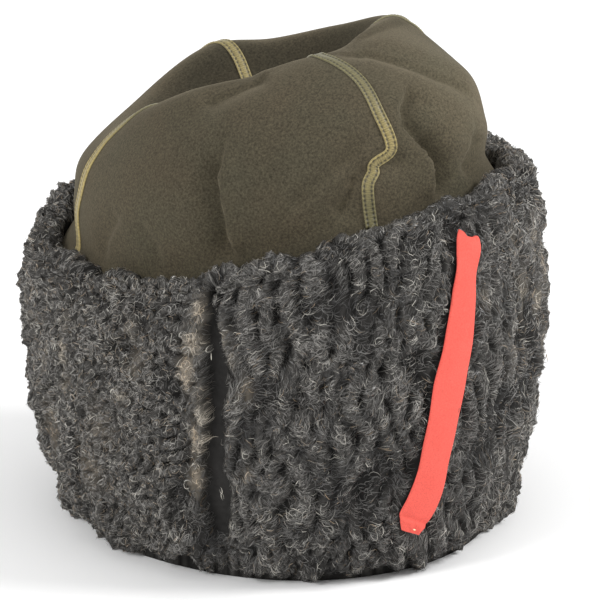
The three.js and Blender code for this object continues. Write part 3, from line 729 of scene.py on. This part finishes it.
class BraidSettings(bpy.types.PropertyGroup):
    width: length_setting("Width", "Width of a braid", 0.0049)
    thickness: length_setting("Thickness", "Thickness of a braid", 0.0009)
    pitch: length_setting("Eyelet Pitch", "From one eyelet of its edge to the next", 0.0018)
    colour: colour_setting("Olive Thread", "Colour of most of its threads", "#5d5a3b")
    gold_colour: colour_setting("Gold Thread", "Colour where it is yellower", "#a5935a")


class RibbonSettings(bpy.types.PropertyGroup):
    thickness: length_setting("Thickness", "Thickness of the ribbon", 0.0008)
    colour: colour_setting("Ribbon", "Colour of the ribbon", "#df564b")
    worn_colour: colour_setting("Worn Ribbon", "Colour where it is more worn", "#e56458")


class StageSettings(bpy.types.PropertyGroup):
    floor_colour: colour_setting("Floor", "Colour of the floor", "#ffffff")
    light: bpy.props.FloatProperty(
        name="Light", description="Strength of the studio light", default=1.0, min=0)


def wear_slot(piece, node_name):
    """Ties a piece to the hat's root, in place of a solid of the imported model, which it hides."""
    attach(piece, "root")
    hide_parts(node_name)


# Pale and tan patches of the fur: turn, share of the height, half width and half height in
# millimetres, how much of the hair is touched, and how tan it is from 0, cream, to 1.
PATCHES = [
    (-56.0, 0.894, 3, 7, 0.8, 0.7), (-57.0, 0.80, 4, 6, 0.95, 0.6), (-58.5, 0.72, 3, 8, 1, 0.8),
    (-56.0, 0.64, 2.5, 8, 0.4, 0.5), (-56.0, 0.57, 3, 7, 1, 0.35), (-58.0, 0.49, 2.5, 7, 0.95, 0.8),
    (-56.0, 0.47, 3, 6, 1, 0.4), (-58.5, 0.35, 3, 7, 0.8, 0.9), (-50.3, 0.80, 3, 6, 0.5, 0.5),
    (-48.5, 0.735, 2, 5, 0.4, 0.6), (-45.5, 0.635, 2.5, 5, 0.5, 1.0), (-46, 0.374, 2, 3, 0.5, 1.2),
    (-97.3, 0.73, 1.6, 7, 0.9, 0.5), (-97.5, 0.61, 2.5, 5, 0.6, 0.8), (-108, 0.42, 3, 8, 0.6, 0.9),
    (-110, 0.36, 4, 8, 0.5, 1.0), (-77.3, 0.61, 3, 3, 0.8, 0.4), (-73.8, 0.84, 2, 5, 0.6, 0.3),
    (-72.5, 0.74, 5, 6, 0.35, 0.9), (-109, 0.67, 2.5, 12, 0.5, 0.6), (-118, 0.81, 3, 8, 0.6, 0.6),
    (-97, 0.80, 2, 7, 0.5, 0.4), (-85, 0.50, 6, 9, 0.3, 1.0), (-92, 0.32, 7, 9, 0.35, 1.1),
    (23, 0.68, 2.5, 9, 0.6, 0.6), (20, 0.83, 3, 6, 0.45, 0.7), (31, 0.63, 2.5, 6, 0.9, 0.5),
    (29, 0.80, 3, 14, 0.6, 0.6), (36, 0.72, 3, 10, 0.7, 0.7), (15, 0.55, 3, 8, 0.35, 0.8),
    (34, 0.50, 4, 10, 0.5, 0.9), (8, 0.72, 2.5, 5, 0.35, 0.9),
]

# Bright curls that hang over the seam: turn, run up the outline, radius and height off the
# furrow's bed, in millimetres.
SEAM_CURLS = [
    (-53.4, 107.5, 1.3, 6.0), (-53.1, 104.5, 1.6, 6.5), (-52.6, 45.5, 1.4, 5.5),
    (-52.4, 42.5, 1.6, 5.5),
]


def patch_strength(fur, columns, rows):
    """How pale and how tan the hair is at points of the unrolled fur."""
    turn = turn_of(columns)
    share, width = sampled(fur.share, columns, rows), sampled(fur.width, columns, rows)
    height = band_height(turn)
    pale, tan = np.zeros(len(columns)), np.zeros(len(columns))
    for at, level, half_width, half_height, strength, warmth in PATCHES:
        across = turn_past(turn, at) * width / half_width
        up = (share - level) * height / half_height
        here = strength * np.exp(-(across ** 2 + up ** 2))
        pale, tan = np.maximum(pale, here), np.maximum(tan, 0.85 * here * warmth)
    return pale, tan


def mixed(first, second, share):
    share = np.asarray(share)[..., None]
    return np.asarray(first) * (1 - share) + np.asarray(second) * share


class OBJECT_OT_kubanka_fur(bpy.types.Operator):
    """Make the band of curled lamb fur: the locks of the pelt and the hairs over them"""
    bl_idname = "object.kubanka_fur"
    bl_label = "Fur Band"

    def execute(self, context):
        settings = context.scene.kubanka_fur
        fur = UnrolledFur(settings)
        make_locks(fur, settings)
        hair = toned_fibre("curled_lamb_hair", 0.36, 0.5)
        make_hairs(fur, settings, hair)
        make_rings(fur, settings, hair)
        return {"FINISHED"}


def make_locks(fur, settings):
    """The pelt with its locks outside, over the roll and inside, down to the foot."""
    column, row = np.meshgrid(fur.shell_columns, fur.shell_rows)
    turn, lowest = turn_of(fur.shell_columns), fur.shell[-1, :, 2]
    inner = []
    for step in range(1, INNER_ROWS + 1):
        height = lowest * (1 - step / INNER_ROWS)
        inner.append(on_plan(turn, oval_radius(turn) - inside_inset(turn, height), height))
    points = np.concatenate([fur.shell, np.array(inner)])
    points[0, :, 2] = 0
    pad = ((0, INNER_ROWS), (0, 0))
    crest = np.pad(sampled(fur.crest, column, row), pad, constant_values=0.3)
    furrow = np.pad(sampled(fur.furrow, column, row), pad)
    pale, tan = (np.pad(share.reshape(column.shape), pad)
                 for share in patch_strength(fur, column.ravel(), row.ravel()))
    dark = np.array(settings.dark)
    # Painted shade: the pelt is darker in the valleys between the locks and lighter on their
    # crests.
    tone = mixed(dark * 0.55, mixed(dark, settings.grey, 0.22), crest ** 1.5)
    tone = mixed(tone, settings.pale, 0.25 * pale)
    tone = mixed(tone, settings.tan, 0.25 * np.clip(tan, 0, 1))
    tone = mixed(tone, dark * 1.2, furrow)
    faces = grid_faces(len(points), SHELL_COLUMNS)
    foot = ring_faces((len(points) - 1) * SHELL_COLUMNS, 0, SHELL_COLUMNS)
    piece = new_piece("fur_locks", points, [faces, foot],
                      toned_fibre("dyed_lamb_pelt", 0.9, 0.1), tone)
    wear_slot(piece, "fur_band")


def make_hairs(fur, settings, material):
    """Short bowed hairs that cross each lock, and longer curled ones that stand off it."""
    random = np.random.default_rng(settings.seed + 1)
    for name, count, steps, reach, bow, lift, pale_and_glinting in HAIR_KINDS:
        columns, rows = hair_roots(fur, getattr(settings, count), random)
        points, normals = bowed_hairs(fur, columns, rows, random, steps,
                                      settings.hair_length / MM * reach, bow, lift)
        width = settings.hair_width / MM * random.uniform(0.45, 1.05, len(columns))
        tone = hair_tones(fur, settings, columns, rows, random, pale_and_glinting)
        roll = random.normal(0, 0.3, len(columns))
        quarters = np.floor(columns / FUR_COLUMNS * 4).astype(int) % 4
        for quarter in range(4):
            chosen = quarters == quarter
            piece = strand_piece(f"{name}_{quarter + 1}", points[chosen], normals[chosen],
                                 width[chosen], roll[chosen], tone[chosen], material)
            wear_slot(piece, "fur_band")


def make_rings(fur, settings, material):
    """Single hairs curled to rings: the first few over the seam, the rest all over the fur."""
    random = np.random.default_rng(settings.seed + 2)
    columns, rows = hair_roots(fur, settings.ring_count, random)
    count, spots, first = len(columns), np.array(SEAM_CURLS), slice(len(SEAM_CURLS))
    columns[first] = (spots[:, 0] / 360 + 0.5) * FUR_COLUMNS
    rows[first] = spots[:, 1] / FUR_STEP
    radius = random.uniform(0.7, 1.9, count) / FUR_STEP
    radius[first] = spots[:, 2] / FUR_STEP
    rise = random.uniform(0.3, 1.6, count)
    rise[first] = spots[:, 3]
    swing = random.uniform(0, 2 * math.pi, count)[:, None]
    swing = swing + np.linspace(0, 1.7 * math.pi, RING_STEPS)
    squash = random.uniform(0.5, 1, count)[:, None]
    path_columns = columns[:, None] + radius[:, None] * np.cos(swing) * squash
    path_rows = rows[:, None] + radius[:, None] * np.sin(swing)
    tilt = random.uniform(-0.5, 0.5, count)[:, None]
    points, normals = fur.above(path_columns, path_rows,
                                rise[:, None] * (1 + tilt * np.cos(swing)))
    width = settings.hair_width / MM * random.uniform(0.6, 1.1, count)
    width[first] = SEAM_CURL_WIDTH
    tone = hair_tones(fur, settings, columns, rows, random, 0.35)
    tone[first] = np.array(settings.pale) * 0.8
    piece = strand_piece("fur_rings", points, normals, width, random.normal(0, 0.3, count),
                         tone, material)
    wear_slot(piece, "fur_band")


def bowed_hairs(fur, columns, rows, random, steps, reach, bow, lift):
    """Paths of points of bowed hairs over the locks, and the fur's direction there. Hairs on
    knobs are ringed round them, and one hair in six has a tip that stands off."""
    count = len(columns)
    heading, lean, bend, slope, knobby = (sampled(grid, columns, rows) for grid in (
        fur.double_heading, fur.lean, fur.bend, fur.slope, fur.knobby))
    angle = 0.5 * np.arctan2(heading[:, 1], heading[:, 0])
    angle = np.where(lean > 0, angle, angle + math.pi) + random.normal(0, 0.22, count)
    bend = np.sign(bend) * (0.5 + 0.5 * np.abs(bend)) * random.uniform(0.5, 1.3, count) * bow
    round_lock = np.arctan2(-slope[:, 0], slope[:, 1]) + random.normal(0, 0.3, count)
    ringed = random.random(count) < knobby
    angle = np.where(ringed, round_lock, angle)
    bend = np.where(ringed, random.uniform(1.7, 3.2, count), bend)
    reach = reach * random.uniform(0.6, 1.25, count) * np.where(ringed, 0.6, 1)
    stride = (reach / FUR_STEP / (steps - 1))[:, None]
    share = np.linspace(0, 1, steps)
    turned = angle[:, None] + bend[:, None] * (share[1:] - 0.5 / (steps - 1) - 0.5)
    paths = []
    for middle, move in ((columns, np.cos(turned)), (rows, np.sin(turned))):
        path = np.cumsum(np.concatenate([middle[:, None], move * stride], axis=1), axis=1)
        paths.append(path + (middle - path.mean(axis=1))[:, None])
    lift = random.uniform(*lift, count)[:, None]
    tip = np.where(random.random(count) < 0.16, random.uniform(0.4, 2.0, count), 0)[:, None]
    return fur.above(*paths, lift * np.sin(share * math.pi) + tip * share ** 3 + 0.05)


def hair_roots(fur, count, random):
    """Where the middles of the hairs lie: most on the crests and the furrow's lips, and none in
    the furrow or the ribbon's bed. Four times as many places are drawn as are kept."""
    columns = random.uniform(0, FUR_COLUMNS, count * 4)
    rows = random.uniform(1.5, ROLL_END / FUR_STEP, count * 4)
    crest, lip, bed = (sampled(grid, columns, rows) for grid in (fur.crest, fur.furrow, fur.bed))
    keep = random.random(count * 4) < 0.12 + 0.88 * crest ** 1.5 + 0.7 * (lip > 0.04)
    keep &= (bed < 0.6) & (lip < 0.7)
    return columns[keep][:count], rows[keep][:count]


def hair_tones(fur, settings, columns, rows, random, pale_and_glinting):
    """The colour of each hair: charcoal to grey, a few pale, and tan or cream in patches, with
    painted light and shade over the locks.
    """
    count = len(columns)
    turn = np.degrees(turn_of(columns))
    # The sides are lighter: partly sun-bleached, with more tan and pale tips, and partly painted
    # light where the lamps fall on them.
    bleached_and_lit = eased(-turn, 52, 76) + eased(turn, 6, 26)
    patch, glint, crest, furrow, bunch = (sampled(grid, columns, rows) for grid in (
        fur.tone, fur.glint, fur.crest, fur.furrow, fur.bunch))
    glint, crest = eased(glint, -0.1, 0.9), crest + 0.5 * furrow
    # Painted light and shade: hairs are greyer on the crests and the furrow's lips, darker in the
    # valleys, and greyer still in the painted glints.
    grey = 0.26 + 0.42 * (random.beta(1.7, 4.4, count) - 0.28) * (0.45 + 0.75 * crest)
    grey += 0.13 * bunch + 0.38 * glint * crest
    grey += 0.55 * (crest - 0.55) + 0.22 * patch + 0.17 * bleached_and_lit
    tone = mixed(settings.dark, settings.grey, np.clip(grey, 0, 1))
    odd = random.random(count)
    # Pale hairs fall more often in the painted glints.
    often = (0.05 + 0.09 * bleached_and_lit + pale_and_glinting) * (0.25 + 2.2 * glint)
    tone = mixed(tone, settings.pale,
                 np.where(odd < often, random.uniform(0.1, 0.7, count), 0))
    browned = 0.04 + 0.10 * bleached_and_lit
    tone = mixed(tone, settings.tan,
                 np.where(odd > 1 - browned, random.uniform(0.1, 0.5, count), 0))
    pale, tan = patch_strength(fur, columns, rows)
    streak = eased(pale + 0.3 * bunch, 0.25, 0.7)
    touched = (random.random(count) < streak) * random.uniform(0.5, 1.3, count)
    tone = mixed(tone, settings.pale, np.clip(touched * pale, 0, 1))
    return mixed(tone, settings.tan, np.clip(touched * tan, 0, 1))


def strand_piece(name, points, normals, width, roll, tone, material):
    """Tapered strips along paths of points, each as wide as is asked and rolled a little."""
    count, steps = points.shape[:2]
    ahead = unit(np.gradient(points, axis=1))
    side = unit(np.cross(ahead, normals))
    face = np.cross(side, ahead)
    side = side * np.cos(roll)[:, None, None] + face * np.sin(roll)[:, None, None]
    share = np.linspace(0, 1, steps)
    taper = np.interp(share, STRAND_PLACES, STRAND_TAPER)[None, :, None] / 2
    half = side * width[:, None, None] * taper
    pairs = np.stack([(points - half)[:, :-1], (points + half)[:, :-1]], axis=2)
    vertices = np.concatenate([pairs.reshape(count, -1, 3), points[:, -1:]], axis=1)
    per = vertices.shape[1]
    base = (np.arange(count) * per)[:, None]
    quads = np.concatenate([base + [[2 * i, 2 * i + 1, 2 * i + 3, 2 * i + 2]]
                            for i in range(steps - 2)])
    tips = base + [[per - 3, per - 2, per - 1]]
    # Painted light along each strand: painted shade at its root and a painted highlight past its
    # middle.
    shade = np.interp(share, STRAND_PLACES, STRAND_PAINTED_LIGHT)
    shade = np.concatenate([np.repeat(shade[:-1], 2), shade[-1:]])
    colours = tone[:, None] * shade[None, :, None]
    return new_piece(name, vertices, [quads, tips], material, colours)


class OBJECT_OT_kubanka_crown(bpy.types.Operator):
    """Make the crown of milled wool cloth, with its folds, down to its hem inside the fur"""
    bl_idname = "object.kubanka_crown"
    bl_label = "Cloth Crown"

    def execute(self, context):
        cloth = context.scene.kubanka_cloth
        drop, columns = cloth.thickness / MM, CROWN_COLUMNS
        turns = np.arange(columns) / columns * 2 * math.pi - math.pi
        places, coarse = (
            np.concatenate([np.linspace(HEM_PLACE, 0, hem_rings, endpoint=False),
                            np.linspace(0, LAST_PLACE, rings)])
            for hem_rings, rings in ((TUCK_ROWS, CROWN_RINGS), (3, CROWN_RINGS // 4)))
        outer, inner = crown_grid(turns, places), crown_grid(turns, coarse)
        inner = (inner - grid_normals(inner) * drop)[::-1]
        middle = crown_point(0.0, 1.0)
        points = np.concatenate([outer.reshape(-1, 3), inner.reshape(-1, 3),
                                 [middle, middle - [0, 0, drop]]])
        start, last = len(places) * columns, len(points)
        top, end = start - columns, last - 2 - columns
        first, after = ring_faces(0, 0, columns)[:, :2].T
        cap = np.stack([top + first, top + after, np.full(columns, last - 2)], axis=-1)
        cap_in = np.stack([start + after, start + first, np.full(columns, last - 1)], axis=-1)
        faces = [grid_faces(len(places), columns), grid_faces(len(coarse), columns) + start,
                 ring_faces(end, 0, columns), cap, cap_in]
        # Painted light and shade of the cloth, a value for each point.
        painted_tone = np.concatenate([painted_light_and_shade(turns, places).ravel(), painted_light_and_shade(turns, coarse[::-1]).ravel(),
                               [1 - MIDDLE_PAINTED_SHADE, 1 - MIDDLE_PAINTED_SHADE]])
        piece = new_piece("crown_cloth", points, faces, milled_wool(cloth),
                          np.stack([painted_tone, painted_tone, painted_tone], axis=-1))
        wear_slot(piece, "crown")
        return {"FINISHED"}


def painted_light_and_shade(turns, places):
    """How much lighter or darker the cloth is painted than its colours: painted shade in the sunken
    middle, and painted light on the lobe on the right and on the low front beside the fur."""
    turn, place = np.meshgrid(np.degrees(turns) - FIRST_TURN, places)
    lobe = bell(turn - 62, 30) * bell(place - 0.33, 0.22)
    low = bell(place - 0.03, 0.1) * bell(turn - 10, 50)
    return 1 - MIDDLE_PAINTED_SHADE * eased(place, 0.56, 0.70) + 0.5 * lobe + 0.2 * low


class OBJECT_OT_kubanka_braids(bpy.types.Operator):
    """Make the two galloon braids that cross on the crown"""
    bl_idname = "object.kubanka_braids"
    bl_label = "Galloon Braids"

    def execute(self, context):
        crown = bpy.data.objects.get("crown_cloth")
        if crown is None:
            raise RuntimeError("The crown has to be made before its braids")
        braid = context.scene.kubanka_braid
        vertices = [vertex.co / MM for vertex in crown.data.vertices]
        faces = [tuple(face.vertices) for face in crown.data.polygons]
        outer, top = (TUCK_ROWS + CROWN_RINGS) * CROWN_COLUMNS, len(vertices) - 2
        tree = BVHTree.FromPolygons(vertices, [face for face in faces
                                               if max(face) < outer or top in face])
        material = woven_galloon()
        side = galloon_centres(BRAID_PATHS["braid_side"], tree)
        front = galloon_centres(BRAID_PATHS["braid_front"], tree)
        over = path_distance(front, side[::8])[0]
        hump = (braid.thickness / MM + 0.15) * (1 - eased(over, 3.0, 6.5))
        make_braid("braid_side", side, 0 * side[:, 0], tree, braid, material)
        make_braid("braid_front", front, hump, tree, braid, material)
        return {"FINISHED"}


def make_braid(node_name, centres, hump, tree, braid, material):
    """A strip with a raised cord along each edge, eyelets beside it and a ribbed middle."""
    centres = smoothed_line(centres, 7)
    touch, normal = on_cloth(centres, tree)
    normal = unit(smoothed_line(normal, 21))
    ahead = unit(np.gradient(smoothed_line(touch, 15), axis=0))
    across = unit(np.cross(ahead, normal))
    width, thickness = braid.width / MM, braid.thickness / MM
    run = np.arange(len(centres)) * BRAID_STEP
    phase = 2 * math.pi * run / (braid.pitch / MM)
    place = np.linspace(-1, 1, BRAID_POINTS)
    spots = touch[:, None] + across[:, None] * (place * width / 2)[None, :, None]
    spots, _ = on_cloth(spots, tree)
    cord = bell(np.abs(place) - 0.86, 0.13)[None]
    eyelet = bell(np.abs(place) - 0.6, 0.2)[None] * (0.5 + 0.5 * np.cos(phase))[:, None]
    rib = (np.abs(place) < 0.45)[None] * (0.5 + 0.5 * np.cos(phase * 2))[:, None]
    edge = (np.abs(place) > 0.97)[None]
    height = thickness * (0.55 + 0.35 * cord - 0.45 * eyelet + 0.12 * rib - 0.5 * edge)
    top = spots + normal[:, None] * (SEAT_GAP * 0.4 + height + hump[:, None])[..., None]
    low = spots[:, [-1, 0]] + normal[:, None] * (0.05 + hump[:, None, None] * 0.9)
    points = np.concatenate([top, low], axis=1)
    low_left = eased(185 - points[..., 2], 0, 30) * eased(-points[..., 0], 20, 60)
    middle = bell(points[..., 2] - 178, 15) * (points[..., 0] > -30)
    gold = np.clip(0.1 + 0.8 * low_left + 0.6 * middle, 0, 1)
    tone = mixed(braid.colour, braid.gold_colour, gold)
    # Painted light and shade on the braid's relief, over its woven pattern: lighter on the raised
    # cords and ribs, darker in the eyelets and on the low edges where it meets the cloth.
    weave_and_relief_light = 0.55 + 0.5 * rib + 0.75 * cord
    dark = np.concatenate([weave_and_relief_light * (1 - 0.9 * eyelet), np.full((len(points), 2), 0.4)], axis=1)
    ring = points.shape[1]
    faces = grid_faces(len(points), ring)[:, ::-1]
    first = np.arange(ring)
    last = (len(points) - 1) * ring + first
    piece = new_piece(f"{node_name}_galloon", points, [faces, first[None], last[None, ::-1]],
                      material, tone * dark[..., None])
    wear_slot(piece, node_name)


class OBJECT_OT_kubanka_ribbon(bpy.types.Operator):
    """Make the ribbon that is sewn down the front of the fur"""
    bl_idname = "object.kubanka_ribbon"
    bl_label = "Ribbon"

    def execute(self, context):
        ribbon = context.scene.kubanka_ribbon
        thickness = ribbon.thickness / MM
        rise = np.linspace(0, 1, RIBBON_RINGS)
        stations = np.linspace(0, 1, len(RIBBON_EDGES))
        left_share, left, right_share, right = (
            smoothed_rows(np.interp(rise, stations, column))[:, None] for column in RIBBON_EDGES.T)
        rise, place = np.meshgrid(rise, np.linspace(-1, 1, RIBBON_POINTS), indexing="ij")
        across_it = (place + 1) / 2
        notch = 0.022 * eased(rise, 0.955, 1) * bell(place - 0.05, 0.45)
        share = left_share + (right_share - left_share) * across_it - notch
        turn = np.radians(left + (right - left) * across_it)
        height = share * band_height(turn)
        radius = oval_radius(turn, FUR_DEPTH) - outside_inset(turn, height)
        radius -= RIBBON_PRESS - SEAT_GAP
        base = on_plan(turn, radius, height)
        ripple = 0.25 * np.sin(rise * 47) * place + 0.2 * np.sin(rise * 29 + place * 2)
        ripple += 0.9 * bell(place, 0.8) - 0.8 * bell(place - 0.55, 0.12) * eased(rise, 0.9, 0.97)
        folded = 1 - eased(rise, 0.045, 0.065)
        ripple += 1.4 * folded * (1 - 0.7 * bell(place - 0.1, 0.2)) - 0.9 * bell(rise - 0.068, 0.01)
        ripple += 0.5 * np.sin(place * 9 + rise * 60) * bell(rise, 0.05)
        out = on_plan(turn, np.ones_like(turn), 0 * turn)
        edge = 0.5 * eased(np.abs(place), 0.9, 1)
        bottom = base + out * (0.3 + ripple * 0.5)[..., None]
        top = bottom + out * (thickness * (1 - edge))[..., None]
        rows, across = share.shape
        points = np.concatenate([top, bottom[:, ::-1]], axis=1)
        half, far = np.arange(across - 1), 2 * across - 1
        cap = np.stack([half, half + 1, far - 1 - half, far - half], axis=-1)
        ends = [cap[:, ::-1], (rows - 1) * 2 * across + cap]
        piece = new_piece("ribbon_tape", points, [grid_faces(rows, 2 * across), *ends],
                          woven_cotton_tape(ribbon))
        wear_slot(piece, "ribbon")
        spots = slice(across // 2, across // 2 + 5)
        path, outward = top[None, STITCH_RING, spots], out[None, STITCH_RING, spots]
        stitch = strand_piece("ribbon_stitch", path + outward * 0.35, outward,
                              np.array([STITCH_WIDTH]), np.array([0.0]),
                              np.array([linear("#e8d9b0")]),
                              toned_fibre("linen_sewing_thread", 0.6, 0.3))
        wear_slot(stitch, "ribbon")
        return {"FINISHED"}


# Half the width of the floor in millimetres, and the strength of the light all round.
FLOOR_HALF = 3000
SKY_STRENGTH = 0.62

# The studio's lamps: name, place in metres, width in metres and power in watts.
LIGHTS = [
    ("left_light", (-2.1, 0.0, 1.5), 1.1, 33),
    ("right_light", (1.45, -1.5, 1.8), 1.1, 56),
    ("top_light", (-0.2, -0.3, 2.4), 1.4, 5),
]
LIGHTS_AIM = (0, 0, 0.1)

# The photograph's view: a turn round the hat, a rise over it and a roll, in degrees, and
# lengths in metres. The sensor and the lens are in millimetres.
CAMERA_TURN = -37
CAMERA_RISE = 19.833
CAMERA_ROLL = -1.734
CAMERA_DISTANCE = 1.93812
CAMERA_LOOKS_AT = Vector((0, 0, 0.065))
CAMERA_AIM = (0.0046, 0.02203)
CAMERA_LENS = 283.07
CAMERA_SENSOR = 36


class OBJECT_OT_kubanka_stage(bpy.types.Operator):
    """Make the pale floor, the soft studio light and the camera"""
    bl_idname = "object.kubanka_stage"
    bl_label = "Floor, Light and Camera"

    def execute(self, context):
        stage = context.scene.kubanka_stage
        self.make_floor(stage)
        self.make_light(context, stage)
        self.make_camera(context)
        return {"FINISHED"}

    def make_floor(self, stage):
        low, high = -FLOOR_HALF, FLOOR_HALF
        points = np.array([[low, low, 0.0], [high, low, 0], [high, high, 0], [low, high, 0]])
        material = new_material("matt_white_paper")
        surfaced(material.node_tree, {"Base Color": (*stage.floor_colour, 1), "Roughness": 0.9})
        new_piece("floor", points, [np.array([[0, 1, 2, 3]])], material)

    def make_light(self, context, stage):
        world = bpy.data.worlds.new("soft_studio")
        world.use_nodes = True
        background = world.node_tree.nodes["Background"]
        background.inputs["Color"].default_value = (1, 1, 1, 1)
        background.inputs["Strength"].default_value = SKY_STRENGTH * stage.light
        context.scene.world = world
        context.scene.view_settings.view_transform = "Standard"
        for name, place, size, power in LIGHTS:
            light = bpy.data.lights.new(name, "AREA")
            light.shape, light.size, light.energy = "DISK", size, power * stage.light
            lamp = bpy.data.objects.new(name, light)
            lamp.location = place
            toward = Vector(LIGHTS_AIM) - lamp.location
            lamp.rotation_mode = "QUATERNION"
            lamp.rotation_quaternion = toward.to_track_quat("-Z", "Y")
            context.collection.objects.link(lamp)

    def make_camera(self, context):
        azimuth, elevation, roll = map(math.radians, (CAMERA_TURN, CAMERA_RISE, CAMERA_ROLL))
        back = Vector((math.sin(azimuth) * math.cos(elevation),
                       -math.cos(azimuth) * math.cos(elevation), math.sin(elevation)))
        right = Vector((math.cos(azimuth), math.sin(azimuth), 0))
        up = back.cross(right)
        right, up = (right * math.cos(roll) + up * math.sin(roll),
                     up * math.cos(roll) - right * math.sin(roll))
        place = CAMERA_LOOKS_AT + back * CAMERA_DISTANCE
        aim = CAMERA_LOOKS_AT + right * CAMERA_AIM[0] + up * CAMERA_AIM[1]
        back = (place - aim).normalized()
        right = up.cross(back).normalized()
        up = back.cross(right)
        data = bpy.data.cameras.new("photo_view")
        data.sensor_width, data.lens = CAMERA_SENSOR, CAMERA_LENS
        data.clip_start, data.clip_end = 0.1, 20
        camera = bpy.data.objects.new("photo_view", data)
        matrix = Matrix((right, up, back)).transposed().to_4x4()
        matrix.translation = place
        camera.matrix_world = matrix
        context.collection.objects.link(camera)
        context.scene.camera = camera


class VIEW3D_PT_kubanka(bpy.types.Panel):
    bl_label = "Kubanka Hat"
    bl_space_type = "VIEW_3D"
    bl_region_type = "UI"
    bl_category = "Kubanka"

    def draw(self, context):
        layout = self.layout
        for title, settings, group, operator in PARTS:
            box = layout.box()
            box.label(text=title)
            for name in group.__annotations__:
                box.prop(getattr(context.scene, settings), name)
            box.operator(operator.bl_idname)


# The parts in the order of their making: title, name of the settings, settings and operator.
PARTS = [
    ("Stage", "kubanka_stage", StageSettings, OBJECT_OT_kubanka_stage),
    ("Crown", "kubanka_cloth", ClothSettings, OBJECT_OT_kubanka_crown),
    ("Braids", "kubanka_braid", BraidSettings, OBJECT_OT_kubanka_braids),
    ("Fur", "kubanka_fur", FurSettings, OBJECT_OT_kubanka_fur),
    ("Ribbon", "kubanka_ribbon", RibbonSettings, OBJECT_OT_kubanka_ribbon),
]
CLASSES = [made for part in PARTS for made in part[2:]] + [VIEW3D_PT_kubanka]


def register():
    for made in CLASSES:
        bpy.utils.register_class(made)
    for _, name, group, _ in PARTS:
        setattr(bpy.types.Scene, name, bpy.props.PointerProperty(type=group))


def unregister():
    for part in PARTS:
        delattr(bpy.types.Scene, part[1])
    for made in reversed(CLASSES):
        bpy.utils.unregister_class(made)


def main():
    register()
    bpy.ops.object.kubanka_stage()
    bpy.ops.object.kubanka_crown()
    bpy.ops.object.kubanka_braids()
    bpy.ops.object.kubanka_fur()
    bpy.ops.object.kubanka_ribbon()


if __name__ == "__main__":
    main()
